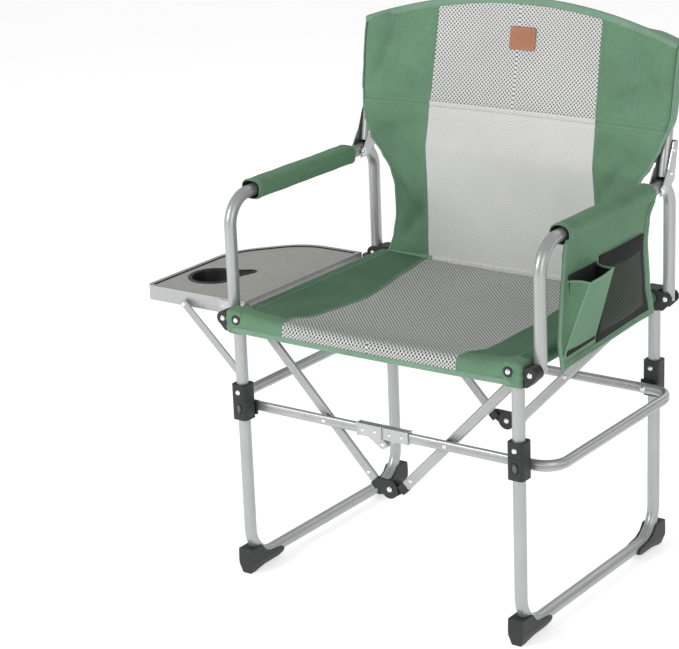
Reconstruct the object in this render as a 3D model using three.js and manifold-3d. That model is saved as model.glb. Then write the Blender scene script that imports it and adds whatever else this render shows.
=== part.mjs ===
// Folding camp chair with a side table and an arm pocket.
// Millimetres, +Z up, the sitter faces -Y, the table hangs on the -X side.
// The origin is under the middle of the chair's box, on the floor.
import * as THREE from 'three';
import { mergeVertices } from 'three/addons/utils/BufferGeometryUtils.js';
import Module from 'manifold-3d';

const wasm = await Module();
wasm.setup();

// ---- driving dimensions ----------------------------------------------------
const GAP = 0.3; // clearance between touching pieces
const LEG_X = 247.5; // leg axes, left and right of the middle
const LEG_Y = 203; // leg axes, front and rear of the middle
const TUBE_R = 9.5; // 19 mm tube
const RAIL_Z = 18; // ground rail axis
const LEG_BEND = 52; // bend radius of the leg tube
const CORNER_LOW = 398; // bottom of the corner brackets
const CORNER_HIGH = 432; // top of the corner brackets
const PIVOT_Z = 418; // arm pivots and seat rails
const CHEEK = 3.5; // thickness of the rear brackets' cheeks
const COLLAR = { low: 290, high: 314, half: 13.5 };
const SLIDER = { low: 257, half: 13.5 };
const FOOT = { sole: 7.5, shoulder: 13, shoulderZ: 15, top: 50 }; // half widths, and the height of the shoulder

const RING_Z = 272; // bars and side rails of the folding ring
const RING_Y = LEG_Y - 22; // bars run this far from the middle
const RING_PIVOT_X = LEG_X - 6; // where the ring turns on the slider
const RING_RAIL_X = LEG_X + 45; // side rail of the ring
const RING_BEND = 34;
const KNUCKLE_DROP = 17.5; // knuckle pivot below the bar axis
const KNUCKLE_LENGTH = 45;
const BAR = { height: 16, depth: 8.4 };
const RAIL = { height: 17, depth: 12 };

const BRACE_Y = RING_Y - 13; // braces run just inside the bars
const BRACE_TOP = { x: -236, z: 404 }; // brace pivot on the left corner bracket
const HUB = { x: 0, z: 177.5, radius: 15 }; // bottom middle pivot of the braces
const BRACE = { width: 16, depth: 7, length: 300, offset: 13.3 };

const ARM_X = 272;
const ARM = { front: -182, rear: 203, top: 600, end: 414, frontBend: 46, rearBend: 34 };
const PAD = { front: -128, rear: 130, width: 38, height: 30 };
const BACK_PIN = { y: 158, z: 600 };
const LEAN = THREE.MathUtils.degToRad(11); // the uprights lean back
const UPRIGHT = { radius: 8, length: 192, y: 182.8, z: 613.2 };

const SEAT = { halfWidth: 233, front: -212, rear: 186, z: 427, sag: 10, thick: 4 };
const BACK = { low: 436, corner: 807, rise: 50, thick: 4 };
const POCKET = { front: -150, rear: 116, low: 436, high: 580, thick: 22, wall: 3 };

const TABLE = { inner: -287, outer: -487, front: -138, rear: 180, top: 420, thick: 24 };
const TABLE_CUT = { outerY: 84, rearX: -402, ease: 42 }; // the rear outer corner is cut off, with eased ends
const TABLE_PIVOT = { x: -281, z: 413 };
const RIM = 7;
const CUP = { x: -423, y: -45, radius: 38, depth: 38, wall: 2 };
const STRUT = { top: [-405, -144, 402], foot: [-265, -190, 326], width: 12, thick: 3 };

// ---- materials -------------------------------------------------------------
const silver = new THREE.MeshStandardMaterial({ color: '#b3b6b5', roughness: 0.38, metalness: 0.75 });
const black = new THREE.MeshStandardMaterial({ color: '#222324', roughness: 0.55, metalness: 0 });
const green = new THREE.MeshStandardMaterial({ color: '#4f8467', roughness: 0.85, metalness: 0 });
const netting = new THREE.MeshStandardMaterial({ color: '#a9aaa6', roughness: 0.8, metalness: 0 });
const board = new THREE.MeshStandardMaterial({ color: '#a9a59c', roughness: 0.7, metalness: 0 });

const chair = new THREE.Group();

function put(name, geometry, material) {
  const piece = new THREE.Mesh(geometry, material);
  piece.name = name;
  chair.add(piece);
}

// ---- solids ----------------------------------------------------------------
function solid(geometry) {
  const bare = geometry.clone();
  bare.deleteAttribute('normal');
  bare.deleteAttribute('uv');
  const welded = mergeVertices(bare, 1e-4);
  return new wasm.Manifold(new wasm.Mesh({
    numProp: 3,
    vertProperties: new Float32Array(welded.attributes.position.array),
    triVerts: new Uint32Array(welded.index.array),
  }));
}

function surface(body) {
  const got = body.getMesh();
  const geometry = new THREE.BufferGeometry();
  geometry.setAttribute('position', new THREE.BufferAttribute(got.vertProperties, 3));
  geometry.setIndex(new THREE.BufferAttribute(got.triVerts, 1));
  return geometry;
}

const join = (...geometries) => surface(geometries.map(solid).reduce((a, b) => a.add(b)));
const common = (a, b) => surface(solid(a).intersect(solid(b)));
const cut = (geometry, ...tools) => surface(tools.map(solid).reduce((a, b) => a.subtract(b), solid(geometry)));

// A copy mirrored across the planes x = 0 or y = 0, with its faces still pointing out.
function mirror(geometry, acrossX, acrossY) {
  const bare = geometry.clone();
  bare.deleteAttribute('normal');
  bare.deleteAttribute('uv');
  const copy = mergeVertices(bare, 1e-4);
  copy.scale(acrossX ? -1 : 1, acrossY ? -1 : 1, 1);
  if (acrossX !== acrossY) {
    const index = copy.index.array;
    for (let i = 0; i < index.length; i += 3) {
      [index[i], index[i + 1]] = [index[i + 1], index[i]];
    }
  }
  return copy;
}

function block([x0, x1], [y0, y1], [z0, z1]) {
  const geometry = new THREE.BoxGeometry(x1 - x0, y1 - y0, z1 - z0);
  geometry.translate((x0 + x1) / 2, (y0 + y1) / 2, (z0 + z1) / 2);
  return geometry;
}

function rod(radius, from, to, sides = 16) {
  const a = new THREE.Vector3(...from);
  const b = new THREE.Vector3(...to);
  const geometry = new THREE.CylinderGeometry(radius, radius, a.distanceTo(b), sides);
  const along = b.clone().sub(a).normalize();
  const turn = new THREE.Quaternion().setFromUnitVectors(new THREE.Vector3(0, 1, 0), along);
  geometry.applyQuaternion(turn);
  const middle = a.add(b).multiplyScalar(0.5);
  geometry.translate(middle.x, middle.y, middle.z);
  return geometry;
}

// A path of straight runs with round bends, read out vertex by vertex.
class BentPath extends THREE.Curve {
  constructor(corners, bends, steps = 6) {
    super();
    const points = corners.map((c) => new THREE.Vector3(...c));
    this.points = [points[0]];
    for (let i = 1; i < points.length - 1; i++) {
      const before = points[i - 1].clone().sub(points[i]).normalize();
      const after = points[i + 1].clone().sub(points[i]).normalize();
      const bend = Array.isArray(bends) ? bends[i - 1] : bends;
      const half = before.angleTo(after) / 2;
      const centre = before.clone().add(after).normalize().multiplyScalar(bend / Math.sin(half)).add(points[i]);
      const start = points[i].clone().addScaledVector(before, bend / Math.tan(half)).sub(centre);
      const axis = new THREE.Vector3().crossVectors(before, after).normalize();
      const sweep = -(Math.PI - 2 * half);
      for (let k = 0; k <= steps; k++) {
        this.points.push(start.clone().applyAxisAngle(axis, (sweep * k) / steps).add(centre));
      }
    }
    this.points.push(points[points.length - 1]);
    this.count = this.points.length - 1;
  }

  getPoint(t) {
    const at = Math.min(Math.max(t, 0), 1) * this.count;
    const i = Math.min(Math.floor(at), this.count - 1);
    return this.points[i].clone().lerp(this.points[i + 1], at - i);
  }

  getPointAt(u) {
    return this.getPoint(u);
  }

  getTangentAt(u) {
    const i = Math.round(u * this.count);
    const before = this.points[Math.max(i - 1, 0)];
    const here = this.points[i];
    const after = this.points[Math.min(i + 1, this.count)];
    const into = here.clone().sub(before).normalize();
    const out = after.clone().sub(here).normalize();
    return into.add(out).normalize();
  }
}

function tube(corners, bends, radius, sides = 12) {
  const path = new BentPath(corners, bends);
  const section = new THREE.Shape(new THREE.EllipseCurve(0, 0, radius, radius).getPoints(sides).slice(0, -1));
  return new THREE.ExtrudeGeometry(section, { steps: path.count, extrudePath: path });
}

function roundedRect(width, height, radius) {
  const [w, h, r] = [width / 2, height / 2, radius];
  const shape = new THREE.Shape();
  shape.moveTo(-w + r, -h);
  shape.lineTo(w - r, -h);
  shape.absarc(w - r, -h + r, r, -Math.PI / 2, 0);
  shape.lineTo(w, h - r);
  shape.absarc(w - r, h - r, r, 0, Math.PI / 2);
  shape.lineTo(-w + r, h);
  shape.absarc(-w + r, h - r, r, Math.PI / 2, Math.PI);
  shape.lineTo(-w, -h + r);
  shape.absarc(-w + r, -h + r, r, Math.PI, 1.5 * Math.PI);
  return shape;
}

// A shape drawn in (x, y), raised along Z.
function raised(shape, z0, z1, curveSegments = 4) {
  const geometry = new THREE.ExtrudeGeometry(shape, { depth: z1 - z0, bevelEnabled: false, curveSegments });
  geometry.translate(0, 0, z0);
  return geometry;
}

// A shape drawn in (x, z), as a plate between two y values.
function plateXZ(shape, y0, y1, curveSegments = 5) {
  const geometry = new THREE.ExtrudeGeometry(shape, { depth: y1 - y0, bevelEnabled: false, curveSegments });
  geometry.rotateX(Math.PI / 2);
  geometry.translate(0, y1, 0);
  return geometry;
}

// A shape drawn in (y, z), as a plate between two x values.
function plateYZ(shape, x0, x1, curveSegments = 5) {
  const geometry = new THREE.ExtrudeGeometry(shape, { depth: x1 - x0, bevelEnabled: false, curveSegments });
  geometry.rotateX(Math.PI / 2);
  geometry.rotateZ(Math.PI / 2);
  geometry.translate(x0, 0, 0);
  return geometry;
}

const polygon = (points) => new THREE.Shape(points.map(([a, b]) => new THREE.Vector2(a, b)));

// A thin sheet as a box whose faces are bent by place(u, v, t): u and v from 0 to 1, t from -1 to 1.
function sheet(columns, rows, place) {
  const geometry = new THREE.BoxGeometry(1, 2, 1, columns, 1, rows);
  const position = geometry.attributes.position;
  for (let i = 0; i < position.count; i++) {
    const at = place(position.getX(i) + 0.5, position.getZ(i) + 0.5, position.getY(i));
    position.setXYZ(i, ...at);
  }
  return geometry;
}

// ---- the left front quarter, mirrored to the others ------------------------
const legCorners = [
  [-LEG_X, -LEG_Y, CORNER_LOW - GAP],
  [-LEG_X, -LEG_Y, RAIL_Z],
  [-LEG_X, LEG_Y, RAIL_Z],
  [-LEG_X, LEG_Y, CORNER_LOW - GAP],
];

// A black foot: a sleeve on the leg's end, a trough under the rail and a small sole.
function foot() {
  const [out, heel] = [-LEG_Y - 17, -LEG_Y + 68];
  const profile = polygon([
    [out + 2, 0], [out + 15, 0], [out + 20, 2], [out + 38, 5.5], [heel - 12, 6], [heel - 2, 9], [heel, 14],
    [heel - 3, 19], [heel - 14, 21], [out + 52, 23], [out + 38, 30], [out + 29, 41], [out + 1, 41], [out, 24],
  ]);
  // Seen from the front it narrows to the sole.
  const { sole, shoulder, top, shoulderZ } = FOOT;
  const front = polygon([
    [-LEG_X - sole, 0], [-LEG_X + sole, 0], [-LEG_X + shoulder, shoulderZ],
    [-LEG_X + shoulder, top], [-LEG_X - shoulder, top], [-LEG_X - shoulder, shoulderZ],
  ]);
  const hollow = tube(legCorners, LEG_BEND, TUBE_R + GAP, 16);
  return cut(common(plateYZ(profile, -LEG_X - shoulder, -LEG_X + shoulder), plateXZ(front, out - 1, heel + 1)), hollow);
}

// The corner bracket takes the leg, the seat rail and the arm's pivot.
function cornerBracket() {
  const body = raised(roundedRect(27, 27, 5), CORNER_LOW, CORNER_HIGH);
  body.translate(-LEG_X, -LEG_Y, 0);
  return body;
}

function frontBracket() {
  const lug = new THREE.Shape();
  lug.moveTo(-LEG_X, CORNER_LOW + 1);
  lug.lineTo(-LEG_X, CORNER_HIGH - 3);
  lug.lineTo(-ARM_X + 6, CORNER_HIGH - 3);
  lug.absarc(-ARM_X, PIVOT_Z, 11, Math.PI / 3, (4 / 3) * Math.PI);
  lug.lineTo(-ARM_X + 4, CORNER_LOW + 1);
  return join(cornerBracket(), plateXZ(lug, -LEG_Y - 10, ARM.front - TUBE_R - GAP));
}

function rearBracket() {
  const cheek = new THREE.Shape();
  cheek.moveTo(-LEG_X, CORNER_LOW + 1);
  cheek.lineTo(-LEG_X, CORNER_HIGH - 3);
  cheek.lineTo(-ARM_X + 6, CORNER_HIGH - 3);
  cheek.absarc(-ARM_X, PIVOT_Z, 11, Math.PI / 3, (4 / 3) * Math.PI);
  cheek.lineTo(-ARM_X + 4, CORNER_LOW + 1);
  const ahead = ARM.rear - TUBE_R - GAP;
  const behind = ARM.rear + TUBE_R + GAP;
  return join(
    mirror(cornerBracket(), false, true),
    plateXZ(cheek, ahead - CHEEK, ahead),
    plateXZ(cheek, behind, behind + CHEEK),
  );
}

function boredBlock(half, bore, low, high) {
  const shape = roundedRect(2 * half, 2 * half, 6);
  shape.holes.push(new THREE.Path().absarc(0, 0, bore, 0, 2 * Math.PI, true));
  const body = raised(shape, low, high, 6);
  body.translate(-LEG_X, -LEG_Y, 0);
  return body;
}

// The slider's lug carries the ring's pivot.
function slider() {
  const lug = block(
    [-LEG_X - 5, -RING_PIVOT_X + 9],
    [-LEG_Y + 12, -RING_Y - RAIL.depth / 2 - GAP],
    [RING_Z - 11, RING_Z + 11],
  );
  return join(boredBlock(SLIDER.half, TUBE_R + 0.6, SLIDER.low, COLLAR.low - GAP), lug);
}

// Half of the stamped knuckle: a sleeve on the bar's end and an ear with the pivot.
function knuckle(earFront, earRear) {
  const sleeve = block(
    [-KNUCKLE_LENGTH, -0.6],
    [-RING_Y - RAIL.depth / 2, -RING_Y + RAIL.depth / 2],
    [RING_Z - 9.5, RING_Z + 9.5],
  );
  const pivot = RING_Z - KNUCKLE_DROP;
  const ear = new THREE.Shape();
  ear.moveTo(-28, RING_Z - 8);
  ear.lineTo(-22, RING_Z - 12);
  ear.absarc(0, pivot, 7.4, (1.2) * Math.PI, 0.5 * Math.PI);
  ear.lineTo(-2, RING_Z - 8);
  return join(sleeve, plateXZ(ear, earFront, earRear));
}

// The brace runs from its top pivot down to the hub. (u, v) is along it and across it.
const braceAngle = Math.atan2(BRACE_TOP.z - HUB.z, HUB.x - BRACE_TOP.x)
  + Math.asin(BRACE.offset / Math.hypot(HUB.x - BRACE_TOP.x, BRACE_TOP.z - HUB.z));
const hubAlong = Math.sqrt((HUB.x - BRACE_TOP.x) ** 2 + (BRACE_TOP.z - HUB.z) ** 2 - BRACE.offset ** 2);

function onBrace(geometry) {
  geometry.rotateY(braceAngle);
  geometry.translate(BRACE_TOP.x, 0, BRACE_TOP.z);
  return geometry;
}

function brace() {
  const half = BRACE.width / 2;
  const shape = new THREE.Shape();
  shape.moveTo(BRACE.length, -half);
  shape.lineTo(BRACE.length, half);
  shape.lineTo(0, half);
  shape.absarc(0, 0, half, Math.PI / 2, 1.5 * Math.PI);
  return onBrace(plateXZ(shape, -BRACE_Y - BRACE.depth / 2, -BRACE_Y + BRACE.depth / 2));
}

// Half of the plastic hub: a block on the brace's end, and a round cheek at the pivot.
function hub(cheekFront, cheekRear) {
  const half = BRACE.width / 2;
  const start = BRACE.length + GAP;
  const end = block([start, start + 12], [-BRACE_Y - 5, -BRACE_Y + 4], [-half, half - 1]);
  const cheek = new THREE.Shape();
  cheek.moveTo(start, -half);
  cheek.lineTo(hubAlong, BRACE.offset - HUB.radius);
  cheek.absarc(hubAlong, BRACE.offset, HUB.radius, -Math.PI / 2, 0.65 * Math.PI);
  cheek.lineTo(start, half - 1);
  return onBrace(join(end, plateXZ(cheek, cheekFront, cheekRear)));
}

const ringMiddle = -RING_Y;
const braceMiddle = -BRACE_Y;

// The ring's side rail: an oval tube bent in plan, with its ends on the slider pivots.
function ringRail() {
  const path = new BentPath([
    [-RING_PIVOT_X + 6, -RING_Y, RING_Z],
    [-RING_RAIL_X, -RING_Y, RING_Z],
    [-RING_RAIL_X, RING_Y, RING_Z],
    [-RING_PIVOT_X + 6, RING_Y, RING_Z],
  ], RING_BEND, 7);
  const section = roundedRect(RAIL.height, RAIL.depth, 4.5);
  return new THREE.ExtrudeGeometry(section, { steps: path.count, extrudePath: path, curveSegments: 3 });
}

function ringBar() {
  return block(
    [-RING_PIVOT_X + 6 + GAP, -KNUCKLE_LENGTH - GAP],
    [-RING_Y - BAR.depth / 2, -RING_Y + BAR.depth / 2],
    [RING_Z - BAR.height / 2, RING_Z + BAR.height / 2],
  );
}

// ---- arms and uprights -----------------------------------------------------
function armTube() {
  return tube([
    [-ARM_X, ARM.front, ARM.end],
    [-ARM_X, ARM.front, ARM.top],
    [-ARM_X, ARM.rear, ARM.top],
    [-ARM_X, ARM.rear, ARM.end],
  ], [ARM.frontBend, ARM.rearBend], TUBE_R);
}

function armPad() {
  const shape = roundedRect(PAD.width, PAD.height, 9);
  shape.holes.push(new THREE.Path().absarc(0, 0, TUBE_R + 0.8, 0, 2 * Math.PI, true));
  const pad = plateXZ(shape, PAD.front, PAD.rear, 6);
  pad.translate(-ARM_X, 0, ARM.top);
  return pad;
}

// A channel that straddles the arm tube at the pin and holds the upright.
function backBracket() {
  const up = Math.tan(LEAN);
  const side = (grow) => polygon([
    [BACK_PIN.y - 9 - grow, BACK_PIN.z - 9 - grow], [BACK_PIN.y + 10, BACK_PIN.z - 9 - grow],
    [BACK_PIN.y + 36 - 2 * (grow > 0), BACK_PIN.z + 8 - grow],
    [BACK_PIN.y + 36 - 2 * (grow > 0) + 58 * up, BACK_PIN.z + 66 + grow],
    [BACK_PIN.y + 24 - grow + 50 * up, BACK_PIN.z + 66 + grow],
    [BACK_PIN.y + 17 - grow, BACK_PIN.z + 28],
  ]);
  const outer = plateYZ(side(0), -ARM_X - 12.5, -ARM_X + 12.5);
  const inner = plateYZ(side(6), -ARM_X - 10.8, -ARM_X + 10.8);
  return cut(outer, inner);
}

// A black saddle on the rear bend, where the upright stands when the back is up.
function backLock() {
  const shape = new THREE.Shape();
  shape.moveTo(BACK_PIN.y + 10, BACK_PIN.z);
  shape.lineTo(BACK_PIN.y + 10, UPRIGHT.z - 2.2);
  shape.lineTo(BACK_PIN.y + 33, UPRIGHT.z - 2.2);
  shape.lineTo(BACK_PIN.y + 33, BACK_PIN.z + 2);
  shape.lineTo(BACK_PIN.y + 26, BACK_PIN.z - 12);
  const saddle = plateYZ(shape, -ARM_X - 10, -ARM_X + 10);
  const hollow = tube([
    [-ARM_X, ARM.front, ARM.top],
    [-ARM_X, ARM.rear, ARM.top],
    [-ARM_X, ARM.rear, ARM.end],
  ], ARM.rearBend, TUBE_R + GAP, 16);
  const below = block([-ARM_X - 20, -ARM_X + 20], [BACK_PIN.y, BACK_PIN.y + 60], [ARM.end, BACK_PIN.z - 1]);
  return cut(saddle, hollow, below);
}

function upright() {
  const from = [-ARM_X, UPRIGHT.y, UPRIGHT.z];
  const [back, up] = [UPRIGHT.length * Math.sin(LEAN), UPRIGHT.length * Math.cos(LEAN)];
  return rod(UPRIGHT.radius, from, [-ARM_X, UPRIGHT.y + back, UPRIGHT.z + up], 14);
}

// ---- everything that comes in left and right, front and rear ---------------
const ear = {
  left: [ringMiddle - RAIL.depth / 2, ringMiddle - GAP],
  right: [ringMiddle + GAP, ringMiddle + RAIL.depth / 2],
};
const cheek = {
  left: [braceMiddle - 5, braceMiddle - GAP - 0.2],
  right: [braceMiddle + GAP - 0.2, braceMiddle + 4],
};

for (const side of ['left', 'right']) {
  const right = side === 'right';
  for (const end of ['front', 'rear']) {
    const rear = end === 'rear';
    const place = (geometry) => mirror(geometry, right, rear);
    put(`foot_${end}_${side}`, place(foot()), black);
    const bracket = rear ? mirror(rearBracket(), right, false) : mirror(frontBracket(), right, false);
    put(`corner_bracket_${end}_${side}`, bracket, black);
    const collar = boredBlock(COLLAR.half, TUBE_R + GAP, COLLAR.low, COLLAR.high);
    put(`stop_collar_${end}_${side}`, place(collar), black);
    put(`slider_${end}_${side}`, place(slider()), black);
    put(`ring_bar_${end}_${side}`, place(ringBar()), silver);
    put(`knuckle_${end}_${side}`, place(knuckle(...ear[side])), silver);
    put(`brace_${end}_${side}`, place(brace()), silver);
    put(`hub_${end}_${side}`, place(hub(...cheek[side])), black);
  }
  const place = (geometry) => mirror(geometry, right, false);
  put(`leg_frame_${side}`, place(tube(legCorners, LEG_BEND, TUBE_R)), silver);
  const railEnd = LEG_Y - 13.5 - GAP;
  const rail = rod(TUBE_R, [-LEG_X, -railEnd, PIVOT_Z], [-LEG_X, railEnd, PIVOT_Z]);
  put(`seat_rail_${side}`, place(rail), silver);
  put(`ring_rail_${side}`, place(ringRail()), silver);
  put(`arm_tube_${side}`, place(armTube()), silver);
  put(`arm_pad_${side}`, place(armPad()), green);
  put(`back_bracket_${side}`, place(backBracket()), silver);
  put(`back_lock_${side}`, place(backLock()), black);
  put(`back_upright_${side}`, place(upright()), silver);
}

// ---- fabric ----------------------------------------------------------------
put('seat_panel', sheet(8, 4, (u, v, t) => {
  const across = 1 - 2 * u;
  const x = across * SEAT.halfWidth;
  const dip = SEAT.sag * (1 - across ** 2);
  return [x, SEAT.front + v * (SEAT.rear - SEAT.front), SEAT.z - dip + (t * SEAT.thick) / 2];
}), netting);

// Half width of the back at a height: it narrows to a waist below the hinges.
const BACK_EDGE = [[436, 232], [492, 219], [547, 218], [599, 236], [668, 271], [807, 277]];

function backHalfWidth(z) {
  const above = Math.max(BACK_EDGE.findIndex(([height]) => height >= z), 1);
  const [[z0, narrow], [z1, wide]] = [BACK_EDGE[above - 1], BACK_EDGE[above]];
  return THREE.MathUtils.mapLinear(z, z0, z1, narrow, wide);
}

// The back panel runs just in front of the uprights and falls back to the seat below them.
function backY(z) {
  if (z > UPRIGHT.z) return 171 + (z - UPRIGHT.z) * Math.tan(LEAN);
  return 171 + ((UPRIGHT.z - z) / (UPRIGHT.z - BACK.low)) * 14;
}

const backLevels = [0, 0.15, 0.3, 0.44, 0.625, 0.64, 0.8, 1];
for (const [name, from, to] of [['back_panel_left', -1, -0.001], ['back_panel_right', 0.001, 1]]) {
  put(name, sheet(5, backLevels.length - 1, (u, v, t) => {
    const across = from + u * (to - from);
    const level = backLevels[Math.round(v * (backLevels.length - 1))];
    const flat = BACK.low + level * (BACK.corner - BACK.low);
    const lift = Math.max(0, (level - 0.64) / 0.36) * BACK.rise * (1 - across ** 2);
    const z = flat + lift;
    return [across * backHalfWidth(flat), backY(z) + (t * BACK.thick) / 2, z];
  }), netting);
}

// The pocket hangs under the right arm pad and is open at the top.
function armPocket() {
  const half = POCKET.thick / 2;
  const inner = half - POCKET.wall;
  return cut(
    block([ARM_X - half, ARM_X + half], [POCKET.front, POCKET.rear], [POCKET.low, POCKET.high]),
    block(
      [ARM_X - inner, ARM_X + inner],
      [POCKET.front + POCKET.wall, POCKET.rear - POCKET.wall],
      [POCKET.low + POCKET.wall, POCKET.high + 10],
    ),
  );
}
put('arm_pocket', armPocket(), green);

// ---- side table ------------------------------------------------------------
function tableOutline(inset) {
  const [x0, x1] = [TABLE.outer + inset, TABLE.inner - inset];
  const [y0, y1] = [TABLE.front + inset, TABLE.rear - inset];
  const slope = inset * 0.42; // the cut corner moves in by the same inset
  const r = Math.max(10 - inset, 2);
  const shape = new THREE.Shape();
  shape.moveTo(x0 + r, y0);
  shape.lineTo(x1, y0);
  shape.lineTo(x1, y1);
  const [cornerA, cornerB] = [[TABLE_CUT.rearX + slope, y1], [x0, TABLE_CUT.outerY - slope]];
  const edge = new THREE.Vector2(cornerB[0] - cornerA[0], cornerB[1] - cornerA[1]).setLength(TABLE_CUT.ease);
  shape.lineTo(cornerA[0] + TABLE_CUT.ease, y1);
  shape.quadraticCurveTo(...cornerA, cornerA[0] + edge.x, cornerA[1] + edge.y);
  shape.lineTo(cornerB[0] - edge.x, cornerB[1] - edge.y);
  shape.quadraticCurveTo(...cornerB, x0, cornerB[1] - TABLE_CUT.ease);
  shape.lineTo(x0, y0 + r);
  shape.absarc(x0 + r, y0 + r, r, Math.PI, 1.5 * Math.PI);
  return new THREE.Shape(shape.getPoints(5));
}

const boardShape = tableOutline(RIM + GAP);
boardShape.holes.push(new THREE.Path().absarc(CUP.x, CUP.y, CUP.radius + 0.8, 0, 2 * Math.PI, true));
put('table_board', raised(boardShape, TABLE.top - 9, TABLE.top - 2, 12), board);

const rimShape = tableOutline(0);
rimShape.holes.push(new THREE.Path(tableOutline(RIM).getPoints().reverse()));
put('table_rim', raised(rimShape, TABLE.top - TABLE.thick, TABLE.top, 4), silver);

const cupTop = TABLE.top - 2;
const cupOut = CUP.radius - GAP;
const cupProfile = [
  [0, cupTop - CUP.depth], [cupOut - 4, cupTop - CUP.depth], [cupOut, cupTop - CUP.depth + 8],
  [cupOut, cupTop + GAP], [cupOut + 4, cupTop + GAP], [cupOut + 4, cupTop + 1.5],
  [cupOut - CUP.wall, cupTop + 1.5], [cupOut - CUP.wall, cupTop - CUP.depth + 8],
  [cupOut - 5, cupTop - CUP.depth + CUP.wall], [0, cupTop - CUP.depth + CUP.wall],
].map(([r, z]) => new THREE.Vector2(r, z));
const cup = new THREE.LatheGeometry(cupProfile, 24);
cup.rotateX(Math.PI / 2);
cup.translate(CUP.x, CUP.y, 0);
put('cup_holder', cup, black);

// The hinge strap on the seat rail, with an ear at each end of the table.
function tableHinge() {
  const strap = block([-LEG_X - 15, -LEG_X - TUBE_R - GAP], [TABLE.front - 8, TABLE.rear + 6], [402, 420]);
  const ears = [TABLE.front - 6, TABLE.rear + 1].map((y) => {
    const shape = new THREE.Shape();
    shape.moveTo(-LEG_X - 12, TABLE_PIVOT.z + 6);
    shape.absarc(TABLE_PIVOT.x, TABLE_PIVOT.z, 6, Math.PI / 2, 1.5 * Math.PI);
    shape.lineTo(-LEG_X - 12, TABLE_PIVOT.z - 6);
    return plateXZ(shape, y, y + 5);
  });
  return join(strap, ...ears);
}
put('table_hinge', tableHinge(), silver);

// The strut is a flat bar from the table's front rim to the front leg.
function tableStrut() {
  const [from, to] = [new THREE.Vector3(...STRUT.top), new THREE.Vector3(...STRUT.foot)];
  const length = from.distanceTo(to);
  const outline = roundedRect(length + STRUT.width, STRUT.width, STRUT.width / 2 - 0.1);
  const bar = raised(outline, -STRUT.thick / 2, STRUT.thick / 2);
  const along = to.clone().sub(from).normalize();
  const flat = new THREE.Vector3(0, -1, 0).addScaledVector(along, along.y).normalize();
  const across = new THREE.Vector3().crossVectors(flat, along);
  const middle = from.clone().add(to).multiplyScalar(0.5);
  bar.applyMatrix4(new THREE.Matrix4().makeBasis(along, across, flat).setPosition(middle));
  return bar;
}
put('table_strut', tableStrut(), silver);

// ---- the origin ------------------------------------------------------------
const part = new THREE.Group();
part.add(chair);
const box = new THREE.Box3().setFromObject(part, true);
const middle = box.getCenter(new THREE.Vector3());
chair.position.set(-middle.x, -middle.y, -box.min.z);

export default part;
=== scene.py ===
# The looks of the folding camp chair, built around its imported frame.
# Shapes are drawn in millimetres in the chair's own frame: x right, y back, z up,
# with the middle between the four legs at x = y = 0 and the floor at z = 0.
import math

import bmesh
import bpy
from mathutils import Matrix, Vector, noise


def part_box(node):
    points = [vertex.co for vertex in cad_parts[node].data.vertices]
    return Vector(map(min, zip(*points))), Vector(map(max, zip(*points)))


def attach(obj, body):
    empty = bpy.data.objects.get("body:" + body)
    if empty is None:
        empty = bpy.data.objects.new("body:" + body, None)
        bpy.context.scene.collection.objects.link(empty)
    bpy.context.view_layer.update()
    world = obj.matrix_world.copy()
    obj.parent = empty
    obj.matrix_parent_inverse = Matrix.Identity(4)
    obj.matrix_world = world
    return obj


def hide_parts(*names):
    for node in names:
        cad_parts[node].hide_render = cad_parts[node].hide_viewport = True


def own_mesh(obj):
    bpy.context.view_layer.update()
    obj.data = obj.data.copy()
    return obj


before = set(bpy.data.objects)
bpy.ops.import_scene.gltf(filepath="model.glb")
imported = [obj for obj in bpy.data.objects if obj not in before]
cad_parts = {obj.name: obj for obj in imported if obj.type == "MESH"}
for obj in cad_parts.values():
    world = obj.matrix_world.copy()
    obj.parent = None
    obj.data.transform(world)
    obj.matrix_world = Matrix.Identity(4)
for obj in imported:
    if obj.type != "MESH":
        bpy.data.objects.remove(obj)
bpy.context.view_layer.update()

legs = [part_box("leg_frame_left"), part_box("leg_frame_right")]
ORIGIN = Vector((
    (legs[0][0][0] + legs[1][1][0]) / 2,
    (legs[0][0][1] + legs[0][1][1]) / 2,
    0.0,
))

LEG_X, LEG_Y, TUBE_R, RAIL_Z, LEG_BEND = 247.5, 203, 9.5, 18, 52
CORNER_LOW, CORNER_HIGH, PIVOT_Z = 398, 432, 418
RING_Z, RING_Y, RING_PIVOT_X, RING_RAIL_X, RING_BEND = 272, 181, 241.5, 292.5, 34
KNUCKLE = 45
BRACE_Y, BRACE_TOP, HUB_Z, BRACE_LENGTH, BRACE_OFFSET = 168, (-236, 404), 177.5, 300, 13.3
ARM_X, ARM_FRONT, ARM_REAR, ARM_TOP, ARM_END = 272, -182, 203, 600, 414
PAD_FRONT, PAD_REAR = -127, 129
PIN_Y, PIN_Z, LEAN = 158, 600, math.radians(11)
UPRIGHT_Y, UPRIGHT_Z, UPRIGHT_LENGTH = 182.8, 613.2, 192
TABLE = dict(inner=-287, outer=-487, front=-138, rear=180, top=420, cut_y=84, cut_x=-402, ease=42)
CUP = (-423, -45, 38)
SIDES = {"left": 1, "right": -1}      # factor that mirrors a left piece to its side
ENDS = {"front": 1, "rear": -1}
TAU = 2 * math.pi


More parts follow.
